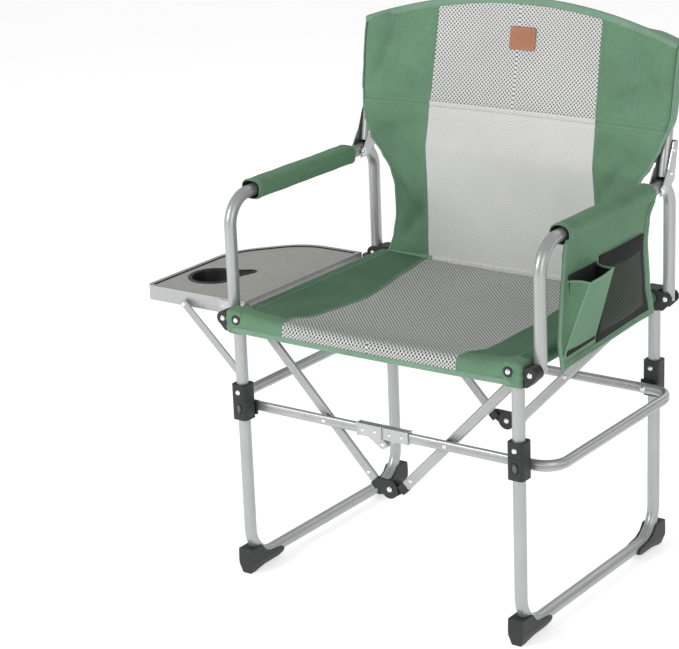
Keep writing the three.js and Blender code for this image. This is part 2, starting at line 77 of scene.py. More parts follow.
# ---- building meshes --------------------------------------------------------
class Build:
    """Vertices in millimetres, faces, their material numbers and a flat (u, v) in metres per vertex."""

    def __init__(self):
        self.verts, self.faces, self.mats, self.flat = [], [], [], []

    def add(self, verts, faces, mat=0, flat=None):
        start = len(self.verts)
        self.verts += [Vector(v) for v in verts]
        self.flat += flat if flat else [(v[0] / 1000, (v[1] + v[2]) / 1000) for v in verts]
        for i, face in enumerate(faces):
            self.faces.append([start + k for k in face])
            self.mats.append(mat[i] if isinstance(mat, list) else mat)
        return self

    def join(self, *others, mat=None):
        for other in others:
            mats = other.mats if mat is None else mat
            self.add(other.verts, other.faces, list(mats) if mat is None else mat, list(other.flat))
        return self

    def mirrored(self, sx, sy):
        copy = Build()
        copy.verts = [Vector((v.x * sx, v.y * sy, v.z)) for v in self.verts]
        copy.faces = [list(reversed(f)) if sx * sy < 0 else list(f) for f in self.faces]
        copy.mats, copy.flat = list(self.mats), list(self.flat)
        return copy

    def piece(self, name, materials, body, nodes=(), slot=None, sharp=38):
        mesh = bpy.data.meshes.new(name)
        mesh.from_pydata([ORIGIN + v / 1000 for v in self.verts], [], self.faces)
        materials = materials if isinstance(materials, list) else [materials]
        for material in materials:
            mesh.materials.append(material)
        layer = mesh.uv_layers.new(name="flat")
        for polygon, mat in zip(mesh.polygons, self.mats):
            polygon.material_index = mat
            polygon.use_smooth = True
            for loop in polygon.loop_indices:
                layer.data[loop].uv = self.flat[mesh.loops[loop].vertex_index]
        bm = bmesh.new()
        bm.from_mesh(mesh)
        bmesh.ops.recalc_face_normals(bm, faces=bm.faces)
        for edge in bm.edges:
            if len(edge.link_faces) == 2 and edge.calc_face_angle(0) > math.radians(sharp):
                edge.smooth = False
        bm.to_mesh(mesh)
        bm.free()
        obj = bpy.data.objects.new(name, mesh)
        bpy.context.scene.collection.objects.link(obj)
        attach(obj, body)
        if nodes:
            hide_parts(*nodes)
        return obj


def bent(corners, bends, steps=10):
    """A polyline of straight runs with round bends."""
    points = [Vector(c) for c in corners]
    bends = bends if isinstance(bends, (list, tuple)) else [bends] * (len(points) - 2)
    path = [points[0]]
    for i in range(1, len(points) - 1):
        before, after = (points[i - 1] - points[i]).normalized(), (points[i + 1] - points[i]).normalized()
        half = before.angle(after) / 2
        centre = points[i] + (before + after).normalized() * bends[i - 1] / math.sin(half)
        start = points[i] + before * bends[i - 1] / math.tan(half) - centre
        turn = before.cross(after).normalized()
        sweep_angle = -(math.pi - 2 * half)
        for k in range(steps + 1):
            path.append(centre + Matrix.Rotation(sweep_angle * k / steps, 3, turn) @ start)
    return path + [points[-1]]


def spread(start, end, count):
    """count + 1 evenly spaced numbers from start to end."""
    return [start + (end - start) * k / count for k in range(count + 1)]


def grid_faces(rows, n, closed=False):
    """Quads between rows of n vertices that each close on themselves, and a cap at both ends."""
    faces = []
    for i in range(rows if closed else rows - 1):
        j = (i + 1) % rows
        for k in range(n):
            m = (k + 1) % n
            faces.append([i * n + k, i * n + m, j * n + m, j * n + k])
    if not closed:
        faces += [list(reversed(range(n))), [(rows - 1) * n + k for k in range(n)]]
    return faces


def dense(path, step):
    """The same polyline with points no further apart than step."""
    out = [path[0]]
    for a, b in zip(path, path[1:]):
        n = max(1, math.ceil((b - a).length / step))
        out += [a.lerp(b, k / n) for k in range(1, n + 1)]
    return out


def sweep(path, section, side, closed=False):
    """section(i, point) gives (a, b) pairs: a along side, b along the other normal."""
    path = [Vector(p) for p in path]
    count = len(path)
    verts, flat = [], []
    run = 0.0
    for i, here in enumerate(path):
        ahead = path[(i + 1) % count] if closed or i < count - 1 else here
        behind = path[i - 1] if closed or i > 0 else here
        tangent = ((ahead - here).normalized() + (here - behind).normalized()).normalized()
        want = Vector(side)
        first = (want - tangent * want.dot(tangent)).normalized()
        second = tangent.cross(first)
        if i:
            run += (here - path[i - 1]).length
        ring = section(i, here)
        round_run = 0.0
        for k, (a, b) in enumerate(ring):
            if k:
                round_run += math.hypot(a - ring[k - 1][0], b - ring[k - 1][1])
            verts.append(here + first * a + second * b)
            flat.append((round_run / 1000, run / 1000))
    return Build().add(verts, grid_faces(count, len(ring), closed), flat=flat)


def oval(half_a, half_b, power=2.0, sides=32, grooves=(), depth=0.0, width=0.16):
    """A superellipse with grooves at the given angles, measured from the a axis."""
    ring = []
    for k in range(sides):
        t = TAU * k / sides
        c, s = math.cos(t), math.sin(t)
        a = half_a * math.copysign(abs(c) ** (2 / power), c)
        b = half_b * math.copysign(abs(s) ** (2 / power), s)
        reach = math.hypot(a, b)
        angle = math.atan2(b, a)
        dip = sum(math.exp(-((math.remainder(angle - g, TAU)) / width) ** 2) for g in grooves)
        scale = 1 - depth * min(dip, 1) / reach
        ring.append((a * scale, b * scale))
    return ring


def flat_oval(width, depth, groove=0.7):
    """A flat tube's section: width along a, depth along b, with two shallow grooves in each wide face."""
    w, d, r = width / 2, depth / 2, depth / 2 * 0.92
    inner = w - r
    ring = []
    for k in range(9):
        t = -math.pi / 2 + math.pi * k / 8
        ring.append((inner + r * math.cos(t), r * math.sin(t) * d / r))
    marks = [(0.62, 0), (0.42, 1), (0.30, 1), (0.12, 0), (-0.12, 0), (-0.30, 1), (-0.42, 1), (-0.62, 0)]
    ring += [(m * inner, d - groove * g) for m, g in marks]
    for k in range(9):
        t = math.pi / 2 + math.pi * k / 8
        ring.append((-inner + r * math.cos(t), r * math.sin(t) * d / r))
    ring += [(-m * inner, -d + groove * g) for m, g in marks]
    return ring


def lathe(profile, centre, axis, sides=28):
    """(radius, height) pairs turned about axis at centre."""
    axis = Vector(axis).normalized()
    turn = Vector((0, 0, 1)).rotation_difference(axis).to_matrix()
    verts = []
    for r, h in profile:
        for k in range(sides):
            t = TAU * k / sides
            verts.append(Vector(centre) + turn @ Vector((r * math.cos(t), r * math.sin(t), h)))
    return Build().add(verts, grid_faces(len(profile), sides))


def rivet(centre, axis, r=4.2, washer=None):
    """A domed rivet head on a thin flange, its base sunk a little."""
    parts = lathe([
        (r, -1.2), (r, 0.35), (r * 0.94, 0.7), (r * 0.86, 0.9), (r * 0.8, 1.4),
        (r * 0.64, 2.05), (r * 0.4, 2.45), (r * 0.14, 2.6),
    ], centre, axis)
    if washer:
        rim = [(washer, -0.8), (washer, 0.25), (washer * 0.95, 0.5), (r * 0.9, 0.5)]
        parts.join(lathe(rim, centre, axis))
    return parts


def rounded(points, radius, steps=4):
    """A closed 2-D outline with its corners rounded."""
    out = []
    n = len(points)
    for i in range(n):
        p, a, b = (Vector(points[k % n]) for k in (i, i - 1, i + 1))
        before, after = (a - p), (b - p)
        reach = min(radius, before.length * 0.45, after.length * 0.45)
        for k in range(steps + 1):
            t = k / steps
            start, end = p + before.normalized() * reach, p + after.normalized() * reach
            out.append(tuple(start.lerp(p, t).lerp(p.lerp(end, t), t)))
    return out


def plate(outline, plane, low, high, bevel=0.6, place=None):
    """An outline as a plate with eased edges. plane is xy, xz or yz; low and high bound the third axis."""
    def at(a, b, c):
        return {"xy": (a, b, c), "xz": (a, c, b), "yz": (c, a, b)}[plane]
    middle = Vector((sum(p[0] for p in outline) / len(outline), sum(p[1] for p in outline) / len(outline)))
    area = sum(a[0] * b[1] - b[0] * a[1] for a, b in zip(outline, outline[1:] + outline[:1]))
    n = len(outline)
    inner = []
    for i in range(n):
        p, a, b = (Vector(outline[k % n]) for k in (i, i - 1, i + 1))
        edge1, edge2 = (p - a), (b - p)
        normal = Vector((-(edge1.y + edge2.y), edge1.x + edge2.x))
        normal = normal.normalized() if normal.length > 1e-6 else (middle - p).normalized()
        inner.append(p + normal * bevel * math.copysign(1, area))
    levels = [(inner, low), (outline, low + bevel), (outline, high - bevel), (inner, high)]
    verts = [at(p[0], p[1], c) for ring, c in levels for p in ring]
    if place:
        verts = [place(Vector(v)) for v in verts]
    return Build().add(verts, grid_faces(len(levels), n))


def thread(path, normal, pitch=4.2, length=2.9, r=0.42, mat=0):
    """A row of stitches along a path. normal(point) is the way out of the cloth."""
    out = Build()
    path = dense([Vector(p) for p in path], 1.0)
    total, marks = 0.0, []
    for a, b in zip(path, path[1:]):
        total += (b - a).length
        marks.append((total, b, (b - a).normalized()))
    want = pitch / 2
    for run, point, along in marks:
        if run < want:
            continue
        want += pitch
        out_way = normal(point)
        across = along.cross(out_way).normalized()
        out_way = across.cross(along)
        verts = []
        for share, lift in ((-0.5, -0.35), (-0.3, 0.3), (0.3, 0.3), (0.5, -0.35)):
            spot = point + along * length * share
            for k in range(5):
                t = TAU * k / 5
                verts.append(spot + out_way * (lift + r * math.sin(t)) + across * r * math.cos(t))
        out.add(verts, grid_faces(4, 5), mat)
    return out


def smooth(t):
    t = min(max(t, 0.0), 1.0)
    return t * t * (3 - 2 * t)


def lookup(table, x):
    """Smooth interpolation in a short list of (x, value) pairs."""
    if x <= table[0][0]:
        return table[0][1]
    for (x0, a), (x1, b) in zip(table, table[1:]):
        if x <= x1:
            t = (x - x0) / (x1 - x0)
            return a + (b - a) * (t * 0.4 + smooth(t) * 0.6)
    return table[-1][1]


# ---- materials --------------------------------------------------------------
class Mat:
    """A Principled material with a small node builder."""

    def __init__(self, name, roughness=0.5, metallic=0.0, specular=0.5, **extra):
        self.mat = bpy.data.materials.new(name)
        self.mat.use_nodes = True
        self.tree = self.mat.node_tree
        self.shader = self.tree.nodes["Principled BSDF"]
        self.set("Roughness", roughness)
        self.set("Metallic", metallic)
        self.set("Specular IOR Level", specular)
        for key, value in extra.items():
            self.set(key.replace("_", " ").title(), value)

    def set(self, key, value):
        self.shader.inputs[key].default_value = value

    def node(self, kind, out=0, props=None, **inputs):
        node = self.tree.nodes.new("ShaderNode" + kind)
        for key, value in (props or {}).items():
            setattr(node, key, value)
        for key, value in inputs.items():
            numbered = key[0] == "i" and key[1:].isdigit()
            slot = node.inputs[int(key[1:]) if numbered else key.replace("_", " ")]
            if isinstance(value, bpy.types.NodeSocket):
                self.tree.links.new(value, slot)
            else:
                slot.default_value = value
        return node.outputs[out]

    def math(self, operation, a, b=0.0, c=0.0):
        return self.node("Math", props={"operation": operation}, i0=a, i1=b, i2=c)

    def place(self, scale=1.0, uv=False):
        if uv:
            vector = self.node("UVMap", props={"uv_map": "flat"})
        else:
            vector = self.node("TexCoord", out=3)
        return self.node("VectorMath", props={"operation": "SCALE"}, i0=vector, Scale=scale)

    def noise(self, scale, detail=3.0, roughness=0.55, uv=False, stretch=None):
        vector = self.place(1.0, uv)
        if stretch:
            vector = self.node("VectorMath", props={"operation": "MULTIPLY"}, i0=vector, i1=stretch)
        return self.node("TexNoise", Vector=vector, Scale=scale, Detail=detail, Roughness=roughness)

    def ramp(self, factor, stops):
        node = self.tree.nodes.new("ShaderNodeValToRGB")
        self.tree.links.new(factor, node.inputs[0])
        while len(node.color_ramp.elements) < len(stops):
            node.color_ramp.elements.new(0.5)
        for element, (at, color) in zip(node.color_ramp.elements, stops):
            element.position = at
            element.color = color if len(color) == 4 else (*color, 1)
        return node.outputs[0]

    def mix(self, factor, a, b, blend="MIX"):
        node = self.tree.nodes.new("ShaderNodeMix")
        node.data_type = "RGBA"
        node.blend_type = blend
        for slot, value in ((0, factor), (6, a), (7, b)):
            if isinstance(value, bpy.types.NodeSocket):
                self.tree.links.new(value, node.inputs[slot])
            else:
                node.inputs[slot].default_value = value if slot == 0 else (*value, 1)
        return node.outputs[2]

    def color(self, socket):
        self.tree.links.new(socket, self.shader.inputs["Base Color"])
        return self

    def rough(self, socket):
        self.tree.links.new(socket, self.shader.inputs["Roughness"])
        return self

    def bump(self, *heights):
        """(height socket, distance in metres, strength) one on top of another."""
        normal = None
        for height, distance, strength in heights:
            node = self.tree.nodes.new("ShaderNodeBump")
            node.inputs["Distance"].default_value = distance
            node.inputs["Strength"].default_value = strength
            self.tree.links.new(height, node.inputs["Height"])
            if normal:
                self.tree.links.new(normal, node.inputs["Normal"])
            normal = node.outputs[0]
        self.tree.links.new(normal, self.shader.inputs["Normal"])
        return self


def shade(color, factor):
    return tuple(c * factor for c in color)


def metal(name, color, roughness, metallic=0.55, draw=(1, 1, 1)):
    m = Mat(name, roughness, metallic)
    cloud = m.noise(14, 4)
    grain = m.noise(900, 2, stretch=draw)
    m.color(m.ramp(cloud, [(0.3, shade(color, 0.92)), (0.7, shade(color, 1.05))]))
    m.rough(m.node("MapRange", Value=cloud, i3=roughness - 0.06, i4=roughness + 0.08))
    return m.bump((grain, 0.0002, 0.12)).mat


def plastic(name, color, roughness=0.5):
    m = Mat(name, roughness, 0.0, 0.45)
    cloud = m.noise(22, 3)
    m.color(m.ramp(cloud, [(0.3, shade(color, 0.85)), (0.7, shade(color, 1.25))]))
    return m.bump((m.noise(1500, 2), 0.0003, 0.25)).mat


def woven(m, pitch):
    """Over-and-under height of a plain weave whose threads are pitch metres apart."""
    place = m.place(1.0, uv=True)
    split = m.tree.nodes.new("ShaderNodeSeparateXYZ")
    m.tree.links.new(place, split.inputs[0])
    u = m.math("SINE", m.math("MULTIPLY", split.outputs[0], TAU / pitch))
    v = m.math("SINE", m.math("MULTIPLY", split.outputs[1], TAU / pitch))
    return m.math("ADD", m.math("MULTIPLY", u, v), m.math("MULTIPLY", m.math("ADD", u, v), 0.25))


def cloth(name, color, roughness=0.82, pitch=0.0011, sheen=0.1, tint=(0.5, 0.62, 0.5)):
    m = Mat(name, roughness, 0.0, 0.3)
    m.set("Sheen Weight", sheen)
    m.set("Sheen Roughness", 0.5)
    m.set("Sheen Tint", (*tint, 1))
    weave = woven(m, pitch)
    cloud, fine = m.noise(11, 4), m.noise(160, 3)
    base = m.ramp(cloud, [(0.25, shade(color, 0.78)), (0.5, color), (0.75, shade(color, 1.16))])
    base = m.mix(0.35, base, m.ramp(fine, [(0.3, shade(color, 0.84)), (0.7, shade(color, 1.12))]))
    base = m.mix(m.node("MapRange", Value=weave, i1=-1.0, i2=1.0, i3=0.22, i4=0.0), base, shade(color, 0.45))
    crinkle = m.noise(55, 4)
    return m.color(base).bump((crinkle, 0.0022, 0.22), (weave, 0.0003, 0.5)).mat


def net(name, light, dark, pitch, hole=0.15, soft=0.5, bump=0.6):
    """An open knit: rows of small dark eyes set diagonally in light thread."""
    m = Mat(name, 0.7, 0.0, 0.35)
    place = m.place(1.0, uv=True)
    split = m.tree.nodes.new("ShaderNodeSeparateXYZ")
    m.tree.links.new(place, split.inputs[0])
    u = m.math("MULTIPLY", split.outputs[0], TAU / pitch)
    v = m.math("MULTIPLY", split.outputs[1], TAU / pitch)
    eyes = m.math("MULTIPLY", m.math("SINE", u), m.math("SINE", v))
    cloud = m.noise(9, 3)
    mask = m.node("MapRange", Value=eyes, i1=hole, i2=hole + soft, i3=0.0, i4=1.0)
    base = m.ramp(cloud, [(0.3, shade(light, 0.95)), (0.7, shade(light, 1.04))])
    base = m.mix(mask, base, dark)
    return m.color(base).bump((eyes, 0.0009, -bump)).mat


SILVER = metal("satin_silver", (0.44, 0.45, 0.446), 0.33, 0.62)
STEEL = metal("bright_stamped_steel", (0.5, 0.505, 0.505), 0.3, 0.75)
RIVET = metal("polished_rivet", (0.8, 0.8, 0.79), 0.22, 0.85)
# The dark steel is painted shade: it stands for the table hinge lying in the rim's shadow and for the tube seen inside
# the slider window.
PAINTED_SHADE_STEEL = metal("shaded_inner_steel", (0.13, 0.13, 0.13), 0.5, 0.4)
BLACK = plastic("black_nylon", (0.018, 0.019, 0.02))
CUPBLACK = plastic("cup_black", (0.012, 0.012, 0.013), 0.42)
GREEN = cloth("green_oxford", (0.142, 0.275, 0.166))
# The seat's green is a darker copy of the same cloth: painted shade for the level seat, which the lamps light less than
# the upright back.
GREEN_SEAT_PAINTED_SHADE = cloth("green_oxford_seat_painted_shade", (0.082, 0.186, 0.108))
BINDING = cloth("green_binding", (0.21, 0.35, 0.25), 0.75, 0.0009, 0.12)
LINING = cloth("black_lining", (0.016, 0.017, 0.017), 0.9, 0.001, 0.1, (0.2, 0.2, 0.2))
THREAD = Mat("pale_green_thread", 0.6, 0.0, 0.3)
THREAD.color(THREAD.ramp(THREAD.noise(300), [(0.3, (0.26, 0.38, 0.29)), (0.7, (0.36, 0.48, 0.39))]))
THREAD = THREAD.mat
NET_TOP = net("back_net_double", (0.64, 0.64, 0.632), (0.07, 0.07, 0.07), 0.0066, 0.1, 0.3)
NET_LOW = net("back_net_single", (0.68, 0.68, 0.668), (0.36, 0.36, 0.355), 0.0046, 0.15, 0.5, 0.4)
# The seat's net is darker than the back's net and its eyes are near black: painted shade on the level seat and painted
# shadow seen through its eyes.
NET_SEAT_PAINTED_SHADE = net("seat_net_painted_shade", (0.56, 0.575, 0.555), (0.04, 0.05, 0.045), 0.0064, 0.02, 0.3)
NET_BLACK = net("black_net", (0.012, 0.015, 0.013), (0.055, 0.088, 0.062), 0.0062, 0.2, 0.3, 0.5)


def leather():
    m = Mat("tan_leather", 0.55, 0.0, 0.4)
    cells = m.node("TexVoronoi", out=0, Vector=m.place(1.0), Scale=650.0)
    cloud = m.noise(40, 4)
    m.color(m.ramp(cloud, [(0.3, (0.33, 0.13, 0.062)), (0.7, (0.43, 0.185, 0.096))]))
    return m.bump((cells, 0.0006, 0.35), (m.noise(90, 3), 0.001, 0.3)).mat


def stone_board():
    m = Mat("greige_board", 0.62, 0.0, 0.4)
    speck, cloud, fine = m.noise(700, 2), m.noise(6, 3), m.noise(130, 4)
    base = m.ramp(cloud, [(0.3, (0.37, 0.365, 0.34)), (0.7, (0.41, 0.405, 0.382))])
    base = m.mix(0.3, base, m.ramp(fine, [(0.35, (0.27, 0.262, 0.24)), (0.65, (0.42, 0.41, 0.385))]))
    base = m.mix(m.node("MapRange", Value=speck, i1=0.62, i2=0.75, i3=0.0, i4=0.5), base, (0.5, 0.49, 0.46))
    return m.color(base).bump((speck, 0.0004, 0.35), (fine, 0.0006, 0.2)).mat


LEATHER, BOARD = leather(), stone_board()


def dress(node, material, bevel=0.8):
    """Eases the edges of a CAD solid and gives it its material."""
    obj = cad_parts[node]
    obj.data.materials.clear()
    obj.data.materials.append(material)
    ease = obj.modifiers.new("ease", "BEVEL")
    ease.width, ease.segments, ease.limit_method = bevel / 1000, 2, "ANGLE"
    ease.angle_limit = math.radians(40)
    for polygon in obj.data.polygons:
        polygon.material_index = 0


# ---- camera and studio ------------------------------------------------------
def studio():
    scene = bpy.context.scene
    data = bpy.data.cameras.new("camera")
    data.sensor_fit, data.sensor_width, data.lens = "HORIZONTAL", 36.0, 116.83
    camera = bpy.data.objects.new("camera", data)
    right = Vector((0.81340, 0.58045, -0.03825)).normalized()
    forward = Vector((-0.56201, 0.76719, -0.30912)).normalized()
    up = right.cross(forward).normalized()
    turn = Matrix((right, up, -forward)).transposed().to_4x4()
    at = ORIGIN + Vector((1.76732, -2.69536, 1.44269))
    camera.matrix_world = Matrix.Translation(at) @ turn
    scene.collection.objects.link(camera)
    scene.camera = camera

    world = bpy.data.worlds.new("studio")
    scene.world = world
    world.use_nodes = True
    world.node_tree.nodes["Background"].inputs[0].default_value = (1.0, 1.0, 1.0, 1)
    world.node_tree.nodes["Background"].inputs[1].default_value = 0.5
    for name, place, aim, size, power in (
        ("key", (-1.5, -3.2, 2.1), (0.0, 0.0, 0.5), 1.6, 72),
        ("fill", (3.0, -1.9, 1.5), (0.0, 0.0, 0.4), 2.0, 26),
        ("back", (0.4, 3.0, 2.2), (0.0, 0.0, 0.4), 2.2, 16),
    ):
        light = bpy.data.lights.new(name, "AREA")
        light.shape, light.size, light.energy = "SQUARE", size, power
        lamp = bpy.data.objects.new(name, light)
        lamp.location = place
        lamp.rotation_euler = (Vector(aim) - Vector(place)).to_track_quat("-Z", "Y").to_euler()
        scene.collection.objects.link(lamp)
    mesh = bpy.data.meshes.new("floor")
    s = 12.0
    mesh.from_pydata([(-s, -s, 0), (s, -s, 0), (s, s, 0), (-s, s, 0)], [], [[0, 1, 2, 3]])
    floor = bpy.data.objects.new("floor", mesh)
    m = Mat("studio_floor", 0.85, 0.0, 0.2)
    m.color(m.ramp(m.noise(3), [(0.3, (0.74, 0.74, 0.74)), (0.7, (0.76, 0.76, 0.76))]))
    m.set("Emission Color", (1, 1, 1, 1))
    m.set("Emission Strength", 0.56)
    mesh.materials.append(m.mat)
    scene.collection.objects.link(floor)
    scene.view_settings.view_transform = "Standard"


studio()


# ---- the frame: legs, ring, braces ------------------------------------------
def leg_frame():
    path = dense(bent([
        (-LEG_X, -LEG_Y, CORNER_LOW - 0.3), (-LEG_X, -LEG_Y, RAIL_Z),
        (-LEG_X, LEG_Y, RAIL_Z), (-LEG_X, LEG_Y, CORNER_LOW - 0.3),
    ], LEG_BEND, 14), 24)
    angles = [math.radians(a) for a in (0, 34, -34, 180, 146, 214)]

    def section(i, point):
        flute = 0.85 * (1 - smooth((point.z - 44) / 40))
        return oval(TUBE_R, TUBE_R, 2, 60, angles, flute, 0.13)
    return sweep(path, section, (-1, 0, 0))


def ring_rail():
    path = bent([
        (-RING_PIVOT_X + 6, -RING_Y, RING_Z), (-RING_RAIL_X, -RING_Y, RING_Z),
        (-RING_RAIL_X, RING_Y, RING_Z), (-RING_PIVOT_X + 6, RING_Y, RING_Z),
    ], RING_BEND, 12)
    rail = sweep(dense(path, 30), lambda i, p: flat_oval(17, 12, 0.8), (0, 0, 1))
    return rail


def ring_bar():
    path = dense([Vector((-RING_PIVOT_X + 6.3, -RING_Y, RING_Z)), Vector((-KNUCKLE - 0.3, -RING_Y, RING_Z))], 30)
    return sweep(path, lambda i, p: flat_oval(16, 8.4, 0.7), (0, 0, 1))


BRACE_SPAN = math.hypot(BRACE_TOP[0], BRACE_TOP[1] - HUB_Z)
BRACE_ANGLE = math.atan2(BRACE_TOP[1] - HUB_Z, -BRACE_TOP[0]) + math.asin(BRACE_OFFSET / BRACE_SPAN)
ALONG = Vector((math.cos(BRACE_ANGLE), 0, -math.sin(BRACE_ANGLE)))
ACROSS = Vector((math.sin(BRACE_ANGLE), 0, math.cos(BRACE_ANGLE)))


def brace():
    top = Vector((BRACE_TOP[0], -BRACE_Y, BRACE_TOP[1]))
    marks = [-7.8, -7, -5.5, -3, 0] + [BRACE_LENGTH * k / 8 for k in range(1, 9)]

    def section(i, point):
        u = marks[i]
        share = math.sqrt(max(0.05, 1 - (min(u, 0) / 8) ** 2))
        return [(a * share, b * (0.75 if u <= 0 else 1)) for a, b in flat_oval(16, 7, 0.6)]
    return sweep([top + ALONG * u for u in marks], section, tuple(ACROSS))


def window(y, z):
    """The slider's oval window: a raised black lip round a glimpse of the tube."""
    out = Build()
    path = [(-LEG_X + 5.2 * math.cos(TAU * k / 28), y, z + 8.0 * math.sin(TAU * k / 28)) for k in range(28)]
    out.join(sweep(path, lambda i, p: oval(1.5, 1.2, 2, 8), (0, -1, 0), closed=True))
    return out


for side, sx in SIDES.items():
    frame_body, sliders, ring, braces = f"{side}_frame", f"{side}_sliders", f"{side}_ring", f"{side}_braces"
    leg_frame().mirrored(sx, 1).piece(f"leg_tube_{side}", SILVER, frame_body, [f"leg_frame_{side}"])
    rail_end = LEG_Y - 13.8
    sweep([(-LEG_X, -rail_end, PIVOT_Z), (-LEG_X, rail_end, PIVOT_Z)], lambda i, p: oval(TUBE_R, TUBE_R), (0, 0, 1)) \
        .mirrored(sx, 1).piece(f"seat_tube_{side}", SILVER, frame_body, [f"seat_rail_{side}"])
    ring_rail().mirrored(sx, 1).piece(f"ring_tube_{side}", SILVER, ring, [f"ring_rail_{side}"])
    for end, sy in ENDS.items():
        tag = f"{end}_{side}"
        for name, bevel in (("foot", 1.0), ("corner_bracket", 1.0), ("stop_collar", 0.9), ("slider", 0.9), ("hub", 1.0)):
            dress(f"{name}_{tag}", BLACK, bevel)
        dress(f"knuckle_{tag}", STEEL, 0.7)
        ring_bar().mirrored(sx, sy).piece(f"bar_{tag}", SILVER, ring, [f"ring_bar_{tag}"])
        brace().mirrored(sx, sy).piece(f"brace_tube_{tag}", SILVER, braces, [f"brace_{tag}"])

        window(-216.7, 275).mirrored(sx, sy).piece(f"slider_window_{tag}", BLACK, sliders)
        glimpse = lathe([(4.6, -0.9), (4.6, 0.1), (4.2, 0.3)], (0, 0, 0), (0, -1, 0))
        glimpse.verts = [Vector((v.x - LEG_X, v.y - 216.6, v.z * 1.6 + 275)) for v in glimpse.verts]
        # The tube seen through the window takes the dark steel: painted shade inside the slider.
        glimpse.mirrored(sx, sy).piece(f"slider_glimpse_{tag}", PAINTED_SHADE_STEEL, sliders)

        heads = Build()
        for y, way in ((-216.5, -1), (-189.5, 1)):
            heads.join(rivet((-LEG_X, y, 302), (0, way, 0)))
        if end == "front":
            heads.join(rivet((-ARM_X, -213, PIVOT_Z), (0, -1, 0), 4.4))
        else:
            heads.join(rivet((-ARM_X, -216.7, PIVOT_Z), (0, -1, 0), 4.4))
            heads.join(rivet((-ARM_X, -189.6, PIVOT_Z), (0, 1, 0), 4.4))
        heads.mirrored(sx, sy).piece(f"frame_rivets_{tag}", RIVET, frame_body)

        post = lathe([(8.5, 0), (8.5, 16), (7.5, 17.2)], (BRACE_TOP[0], -189.4, BRACE_TOP[1]), (0, 1, 0))
        post.mirrored(sx, sy).piece(f"brace_post_{tag}", BLACK, frame_body)

        ring_heads = Build()
        ring_heads.join(rivet((-RING_PIVOT_X, -175.2, RING_Z), (0, 1, 0), 4.6))
        ring_heads.join(rivet((-109.1, -185.1, RING_Z), (0, -1, 0), 3.8))
        for x in (-13, -35):
            ring_heads.join(rivet((x, -187, RING_Z), (0, -1, 0), 3.2), rivet((x, -175, RING_Z), (0, 1, 0), 3.2))
        if side == "left":
            ring_heads.join(rivet((0, -187, RING_Z - 17.5), (0, -1, 0), 4.0))
        ring_heads.mirrored(sx, sy).piece(f"ring_rivets_{tag}", RIVET, ring)
        lips = Build()
        for x0, x1 in ((-46.2, -43.4), (-2.6, -0.7)):
            lips.join(plate(rounded([(-RING_Y - 6.9, RING_Z - 10.4), (-RING_Y + 6.9, RING_Z - 10.4),
                                     (-RING_Y + 6.9, RING_Z + 10.4), (-RING_Y - 6.9, RING_Z + 10.4)], 2), "yz", x0, x1, 0.5))
        lips.mirrored(sx, sy).piece(f"knuckle_lips_{tag}", STEEL, ring)

        brace_heads = Build()
        low = Vector((BRACE_TOP[0], 0, BRACE_TOP[1])) + ALONG * 286
        brace_heads.join(rivet((low.x, -BRACE_Y - 3.4, low.z), (0, -1, 0), 3.4))
        brace_heads.join(rivet((-109.1, -BRACE_Y + 3.4, RING_Z), (0, 1, 0), 3.8))
        brace_heads.join(rivet((BRACE_TOP[0], -BRACE_Y + 2.6, BRACE_TOP[1]), (0, 1, 0), 4.4))
        if side == "left":
            brace_heads.join(rivet((0, -BRACE_Y - 5, HUB_Z), (0, -1, 0), 4.6))
        else:
            brace_heads.join(rivet((0, -BRACE_Y + 4, HUB_Z), (0, 1, 0), 4.6))
        brace_heads.mirrored(sx, sy).piece(f"brace_rivets_{tag}", RIVET, braces)
        spacer = lathe([(6.5, 0), (6.5, 4.6), (5.9, 5.1)], (-109.1, -BRACE_Y - 3.4, RING_Z), (0, -1, 0))
        spacer.mirrored(sx, sy).piece(f"spacer_{tag}", BLACK, braces)


# ---- arms, back brackets and uprights ---------------------------------------
def arm_tube():
    path = bent([(-ARM_X, ARM_FRONT, ARM_END), (-ARM_X, ARM_FRONT, ARM_TOP),
                 (-ARM_X, ARM_REAR, ARM_TOP), (-ARM_X, ARM_REAR, ARM_END)], [46, 34], 16)
    return sweep(path, lambda i, p: oval(TUBE_R, TUBE_R, 2, 36), (-1, 0, 0))


